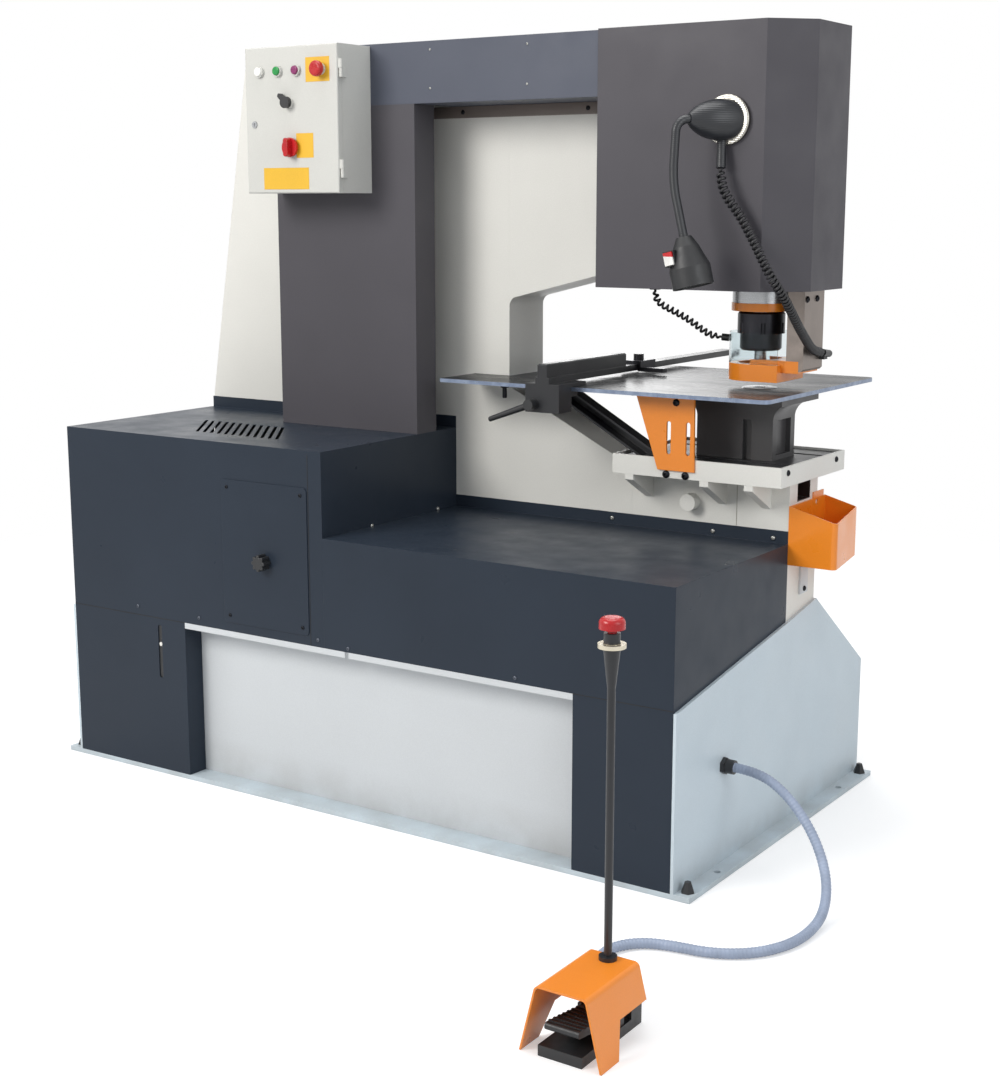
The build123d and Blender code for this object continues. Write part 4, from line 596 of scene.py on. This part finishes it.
# Profiles of turned pieces as (radius, height): heads in shares of their radius, the rest in millimetres
BUTTON_HEAD = ((1, 0), (1, 0.25), (0.8, 0.5), (0.5, 0.62), (0.44, 0.62), (0.44, 0.2), (0, 0.2))
WASHER = ((1.35, 0), (1.35, 0.18), (0, 0.18))
HEX_HEAD = ((1, 0.18), (1, 0.72), (0.86, 0.84), (0, 0.84))
FLOAT = ((6, 0), (5.6, 0.8), (4, 1.6), (0, 2))
STUD = ((6, 9), (6, 34), (5, 36), (0, 36))
BEZEL = ((11.6, 0), (15, 0), (15, 2), (13.6, 3.8), (11.6, 3.8), (11.6, 0))
BULB = ((12, 70), (12, 84), (21, 89), (25, 97), (21, 105), (12, 110), (0, 112))


def turned(bm, origin, normal, profile, sides=16, size=1):
    """Surface of revolution from a profile times a size, closed where the radius is zero."""
    spin = Vector((0, 0, 1)).rotation_difference(Vector(normal).normalized()).to_matrix().to_4x4()
    place = Matrix.Translation(metres(origin)) @ spin
    last = None
    for radius, height in profile:
        count = sides if radius else 1
        ring = []
        for k in range(count):
            a = 2 * math.pi * k / count
            spot = (radius * math.cos(a), radius * math.sin(a), height)
            ring.append(bm.verts.new(place @ Vector([c * size * MM for c in spot])))
        if last is not None:
            for k in range(sides):
                near = [last[k % len(last)], last[(k + 1) % len(last)]]
                far = [ring[(k + 1) % len(ring)], ring[k % len(ring)]]
                corners = list(dict.fromkeys(near + far))
                if len(corners) > 2:
                    bm.faces.new(corners)
        last = ring


def turned_piece(name, origin, normal, profile, material, sides=16):
    bm = bmesh.new()
    turned(bm, origin, normal, profile, sides)
    return piece(name, bm, material, "machine")


def button_screws(name, places, normal, radius, material):
    """Button-head screws with a socket, in one piece."""
    bm = bmesh.new()
    for place in places:
        turned(bm, place, normal, BUTTON_HEAD, sides=14, size=radius)
    return piece(name, bm, material, "machine")


def hex_bolts(name, places, normal, radius, material):
    """Hexagon heads on washers, in one piece."""
    bm = bmesh.new()
    for place in places:
        turned(bm, place, normal, WASHER, sides=20, size=radius)
        turned(bm, place, normal, HEX_HEAD, sides=6, size=radius)
    return piece(name, bm, material, "machine")


def slabs(name, boxes, bevel, material, body="machine"):
    """Boxes between opposite corners, with their edges rounded, in one piece."""
    bm = bmesh.new()
    for low, high in boxes:
        low = Vector(metres(low))
        high = Vector(metres(high))
        place = Matrix.Translation((low + high) / 2) @ Matrix.Diagonal((*(high - low), 1))
        made = bmesh.ops.create_cube(bm, size=1, matrix=place)
        if bevel:
            edges = list({e for v in made["verts"] for e in v.link_edges})
            bmesh.ops.bevel(bm, geom=edges, offset=bevel * MM, segments=2, profile=0.5, affect="EDGES")
    return piece(name, bm, material, body)


def face(node, axis, end):
    """Place of a node's outermost face along an axis, in millimetres."""
    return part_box(node)[end][axis] / MM


def at_y(y, places):
    return [(x, y, z) for x, z in places]


def at_x(x, places):
    return [(x, y, z) for y, z in places]


# Screws of the covers, as (x, z) on front and back faces and (y, z) on right faces
SHEET_T = 2.5
COVER_SCREW_R = 5
FLANGE_SCREW_R = 6
front_y = face("power_pack_cover", Y, LOW)
panel_y = face("access_panel", Y, LOW)
step_x = face("power_pack_cover", X, HIGH)
frame_y = face("low_cover", Y, HIGH)
rear_y = face("rear_cover", Y, HIGH)
hood_back_y = face("head_hood", Y, HIGH)
cover_places = [(-481, 466), (-710, 469), (-67, 464), (31, 455), (536, 458)]
panel_places = [(x, z) for z in (834, 490) for x in (-365, -115)]
flange_places = [(457, 746), (753, 742), (920, 742)]
step_places = [(-336, 731), (-41, 733)]
rear_places = [(x, z) for x in (-900, -450, 0, 450, 900) for z in (50, 290)]
hood_places = [(530, z) for z in (1475, 1700, 1930)]
button_screws("cover_screws", at_y(front_y, cover_places), OUT_FRONT, COVER_SCREW_R, cover_screw_mat)
button_screws("panel_screws", at_y(panel_y, panel_places), OUT_FRONT, COVER_SCREW_R, screw_mat)
button_screws("flange_screws", at_y(frame_y - SHEET_T, flange_places), OUT_FRONT, FLANGE_SCREW_R,
              zinc_mat)
button_screws("step_screws", at_x(step_x, step_places), OUT_RIGHT, FLANGE_SCREW_R, zinc_mat)
button_screws("rear_screws", at_y(rear_y, rear_places), OUT_BACK, COVER_SCREW_R, cover_screw_mat)
button_screws("hood_screws", at_y(hood_back_y, hood_places), OUT_BACK, COVER_SCREW_R, cover_screw_mat)

# Seams between the sheets of the front
SEAM_T = 0.35
SEAM_HALF = 1
SEAM_X = -91
SEAM_TOP = 940
seam_y = front_y - SEAM_T
pillar_z = face("power_pack_cover", Z, LOW)
cover_left = face("power_pack_cover", X, LOW)
cover_right = face("low_cover", X, HIGH)
panel_left = face("front_panel", X, LOW)
panel_right = face("front_panel", X, HIGH)
slabs("cover_seams", [
    ((SEAM_X - SEAM_HALF, seam_y, pillar_z), (SEAM_X + SEAM_HALF, front_y, SEAM_TOP)),
    ((cover_left, seam_y, pillar_z - SEAM_HALF), (panel_left, front_y, pillar_z + SEAM_HALF)),
    ((panel_right, seam_y, pillar_z - SEAM_HALF), (cover_right, front_y, pillar_z + SEAM_HALF)),
], bevel=0, material=seam_mat)

# Oil level glass behind its slot, with a white float
GLASS_X = -630
GLASS_HALF = 12
GLASS_LOW = 268
GLASS_HIGH = 434
GLASS_BACK = 10
FLOAT_Z = 371
glass_y = front_y + SHEET_T
slabs("level_glass", [
    ((GLASS_X - GLASS_HALF, glass_y, GLASS_LOW), (GLASS_X + GLASS_HALF, front_y + GLASS_BACK, GLASS_HIGH)),
], bevel=2, material=black_plastic)
turned_piece("level_float", (GLASS_X, glass_y, FLOAT_Z), OUT_FRONT, FLOAT, white_plastic)

# Lining strip under the beam, its taupe colour painted shade from the beam, with its screws, and four
# rivets on the beam
LINING_T = 4
LINING_HIGH = 30
LINING_UNDER = 70
LINING_SCREW_IN = 30
LINING_SCREW_X = 372
LINING_SCREW_R = 6
RIVET_R = 3.2
beam_y = face("beam_cover", Y, LOW)
beam_z = face("beam_cover", Z, LOW)
column_x = face("column_cover", X, HIGH)
hood_x = face("head_hood", X, LOW)
lining_y = frame_y - LINING_T
lining_places = [(x, beam_z - LINING_HIGH / 2) for x in (column_x + LINING_SCREW_IN, LINING_SCREW_X)]
rivet_places = [(x, z) for x in (5, 302) for z in (1850, 1946)]
slabs("beam_lining", [
    ((column_x - LINING_UNDER, lining_y, beam_z - LINING_HIGH), (hood_x, frame_y, beam_z)),
], bevel=0.6, material=lining_shade_mat)
button_screws("lining_screws", at_y(lining_y, lining_places), OUT_FRONT, LINING_SCREW_R, screw_mat)
button_screws("beam_rivets", at_y(beam_y, rivet_places), OUT_FRONT, RIVET_R, zinc_mat)

# Bolts round the head, the tray and the table
HANGER_BOLT_R = 8
TRAY_BOLT_R = 7.5
BRACKET_BOLT_R = 10
WEB_BOLT_R = 9
TABLE_BOLT_R = 11
hanger_x = face("stripper_hanger", X, HIGH)
tray_x = face("bolster_tray", X, HIGH)
tray_y = face("bolster_tray", Y, LOW)
bracket_y = face("table_brackets", Y, LOW)
table_z = face("table_plate", Z, LOW)
hanger_places = [(88, 1331), (146, 1331)]
tray_places = [(-23, 920), (270, 918)]
bracket_places = [(672, 895), (726, 895)]
web_places = [(700, 1077)]
bolt_at = (571, -50, table_z)
stud_at = (200, -80, table_z)
button_screws("hanger_bolts", at_x(hanger_x, hanger_places), OUT_RIGHT, HANGER_BOLT_R, screw_mat)
button_screws("tray_bolts", at_x(tray_x, tray_places), OUT_RIGHT, TRAY_BOLT_R, screw_mat)
button_screws("bracket_bolts", at_y(tray_y, bracket_places), OUT_FRONT, BRACKET_BOLT_R, screw_mat)
button_screws("web_bolts", at_y(bracket_y, web_places), OUT_FRONT, WEB_BOLT_R, screw_mat)
hex_bolts("table_bolts", [bolt_at, stud_at], DOWN, TABLE_BOLT_R, screw_mat)
turned_piece("table_stud", stud_at, DOWN, STUD, screw_mat)

# Weld line, and a flat bar in darker grey paint with a black screw, on the nose of the frame
WELD_X = 817
WELD_HALF = 0.8
WELD_T = 0.5
WELD_LOW = 763
WELD_HIGH = 885
BAR_FRONT = 118
BAR_BACK = 163
BAR_T = 6
BAR_DROP = 88
BAR_GAP = 1
BAR_SCREW_Y = 140
BAR_SCREW_DROP = 76
BAR_SCREW_R = 7
nose_x = face("c_frame", X, HIGH)
bin_z = face("slug_bin", Z, LOW)
bar_places = [(BAR_SCREW_Y, bin_z - BAR_SCREW_DROP)]
slabs("nose_weld", [
    ((WELD_X - WELD_HALF, frame_y - WELD_T, WELD_LOW), (WELD_X + WELD_HALF, frame_y, WELD_HIGH)),
], bevel=0, material=weld_mat)
slabs("nose_bar", [
    ((nose_x, BAR_FRONT, bin_z - BAR_DROP), (nose_x + BAR_T, BAR_BACK, bin_z - BAR_GAP)),
], bevel=1, material=panel_mat)
button_screws("bar_screws", at_x(nose_x + BAR_T, bar_places), OUT_RIGHT, BAR_SCREW_R, screw_mat)

# Blank plates on the control box door as (x, z, x, z), and bezels round its lamp and buttons
DOOR_Y = -272.3
PLATE_T = 0.25
plate_corners = [(-445, 1596, -289, 1652), (-330, 1677, -272, 1740), (-294, 1869, -214, 1931)]
plates = [((a, DOOR_Y - PLATE_T, b), (c, DOOR_Y, d)) for a, b, c, d in plate_corners]
slabs("door_plates", plates, bevel=0, material=yellow_mat, body="door_body")
bezel_bm = bmesh.new()
for device in ("power_lamp", "start_button", "stop_button"):
    middle_x = (face(device, X, LOW) + face(device, X, HIGH)) / 2
    middle_z = (face(device, Z, LOW) + face(device, Z, HIGH)) / 2
    turned(bezel_bm, (middle_x, DOOR_Y, middle_z), OUT_FRONT, BEZEL, sides=24)
piece("device_bezels", bezel_bm, chrome_mat, "door_body")

# Bulb in the mouth of the lamp, from the top of its head along its axis
LAMP_TOP = (809.23, -252.34, 1483.86)
LAMP_WAY = (0.24192, 0.0, -0.97030)
turned_piece("lamp_bulb", LAMP_TOP, LAMP_WAY, BULB, lamp_lens, sides=24)


def background_rays(tree):
    """Socket that is 1 for the rays that show the background: camera, glossy and transmission rays."""
    rays = tree.nodes.new("ShaderNodeLightPath")
    seen = rays.outputs["Is Camera Ray"]
    for kind in ("Is Glossy Ray", "Is Transmission Ray"):
        most = tree.nodes.new("ShaderNodeMath")
        most.operation = "MAXIMUM"
        tree.links.new(seen, most.inputs[0])
        tree.links.new(rays.outputs[kind], most.inputs[1])
        seen = most.outputs[0]
    return seen


def floor_material():
    """Pale floor that keeps the shadow near the machine and fades to white further out."""
    white = (1.0, 1.0, 1.0, 1.0)
    fade_start = 1.7
    fade_end = 4.0
    g = Graph("floor_white")
    seen = background_rays(g.tree)
    base = g.add("ShaderNodeBsdfDiffuse", Color=(0.72, 0.72, 0.72, 1.0))
    glow = g.add("ShaderNodeEmission", Color=white)
    g.link(g.math("MULTIPLY", seen, 0.42), glow.inputs["Strength"])
    near = g.add("ShaderNodeAddShader")
    g.link(base.outputs[0], near.inputs[0])
    g.link(glow.outputs[0], near.inputs[1])
    reach = g.add("ShaderNodeVectorMath", operation="LENGTH")
    g.link(g.coords(), reach.inputs[0])
    far = g.span(reach.outputs["Value"], fade_start, fade_end, 0.0, 1.0)
    fade = g.add("ShaderNodeMixShader")
    g.link(g.math("MULTIPLY", seen, far), fade.inputs[0])
    g.link(near.outputs[0], fade.inputs[1])
    g.link(g.add("ShaderNodeEmission", Color=white).outputs[0], fade.inputs[2])
    return g.finish(fade.outputs[0])


# Floor, a hair under the sole
FLOOR_HALF = 30
FLOOR_Z = -0.0005
floor_bm = bmesh.new()
bmesh.ops.create_grid(floor_bm, x_segments=4, y_segments=4, size=FLOOR_HALF)
floor_mesh = bpy.data.meshes.new("floor")
floor_bm.to_mesh(floor_mesh)
floor_bm.free()
floor_mesh.materials.append(floor_material())
floor = add_object("floor", floor_mesh)
floor.location.z = FLOOR_Z

# Soft world light, seen as white
world = bpy.data.worlds.new("studio")
bpy.context.scene.world = world
world.use_nodes = True
sky = world.node_tree
sky.nodes.clear()
sky_out = sky.nodes.new("ShaderNodeOutputWorld")
sky_mix = sky.nodes.new("ShaderNodeMixShader")
sky.links.new(background_rays(sky), sky_mix.inputs[0])
sky_rows = [((0.95, 0.97, 1.0, 1.0), 0.42), ((1.0, 1.0, 1.0, 1.0), 1.0)]
for socket, (colour, strength) in enumerate(sky_rows, 1):
    part = sky.nodes.new("ShaderNodeBackground")
    part.inputs["Color"].default_value = colour
    part.inputs["Strength"].default_value = strength
    sky.links.new(part.outputs[0], sky_mix.inputs[socket])
sky.links.new(sky_mix.outputs[0], sky_out.inputs[0])

# Lamps of the studio: name, place, aim, size, energy and colour
lamp_rows = [
    ("key", (-1.6, -4.6, 3.6), (0.0, 0.0, 0.9), 2.6, 185, (1.0, 0.98, 0.95)),
    ("fill", (4.8, -1.6, 2.6), (0.4, 0.0, 0.8), 3.0, 55, (0.95, 0.98, 1.0)),
    ("top", (0.2, 0.2, 5.2), (0.2, 0.0, 0.5), 4.0, 130, (1.0, 1.0, 1.0)),
    ("back", (-2.5, 4.0, 3.0), (0.0, 0.0, 1.0), 3.0, 80, (1.0, 1.0, 1.0)),
]
for name, place, aim, size, energy, colour in lamp_rows:
    lamp = bpy.data.lights.new(name, "AREA")
    lamp.shape = "DISK"
    lamp.size = size
    lamp.energy = energy
    lamp.color = colour
    obj = add_object(name, lamp)
    obj.location = place
    obj.rotation_euler = (Vector(aim) - Vector(place)).to_track_quat("-Z", "Y").to_euler()
bpy.context.scene.view_settings.view_transform = "Standard"

bpy.context.view_layer.update()
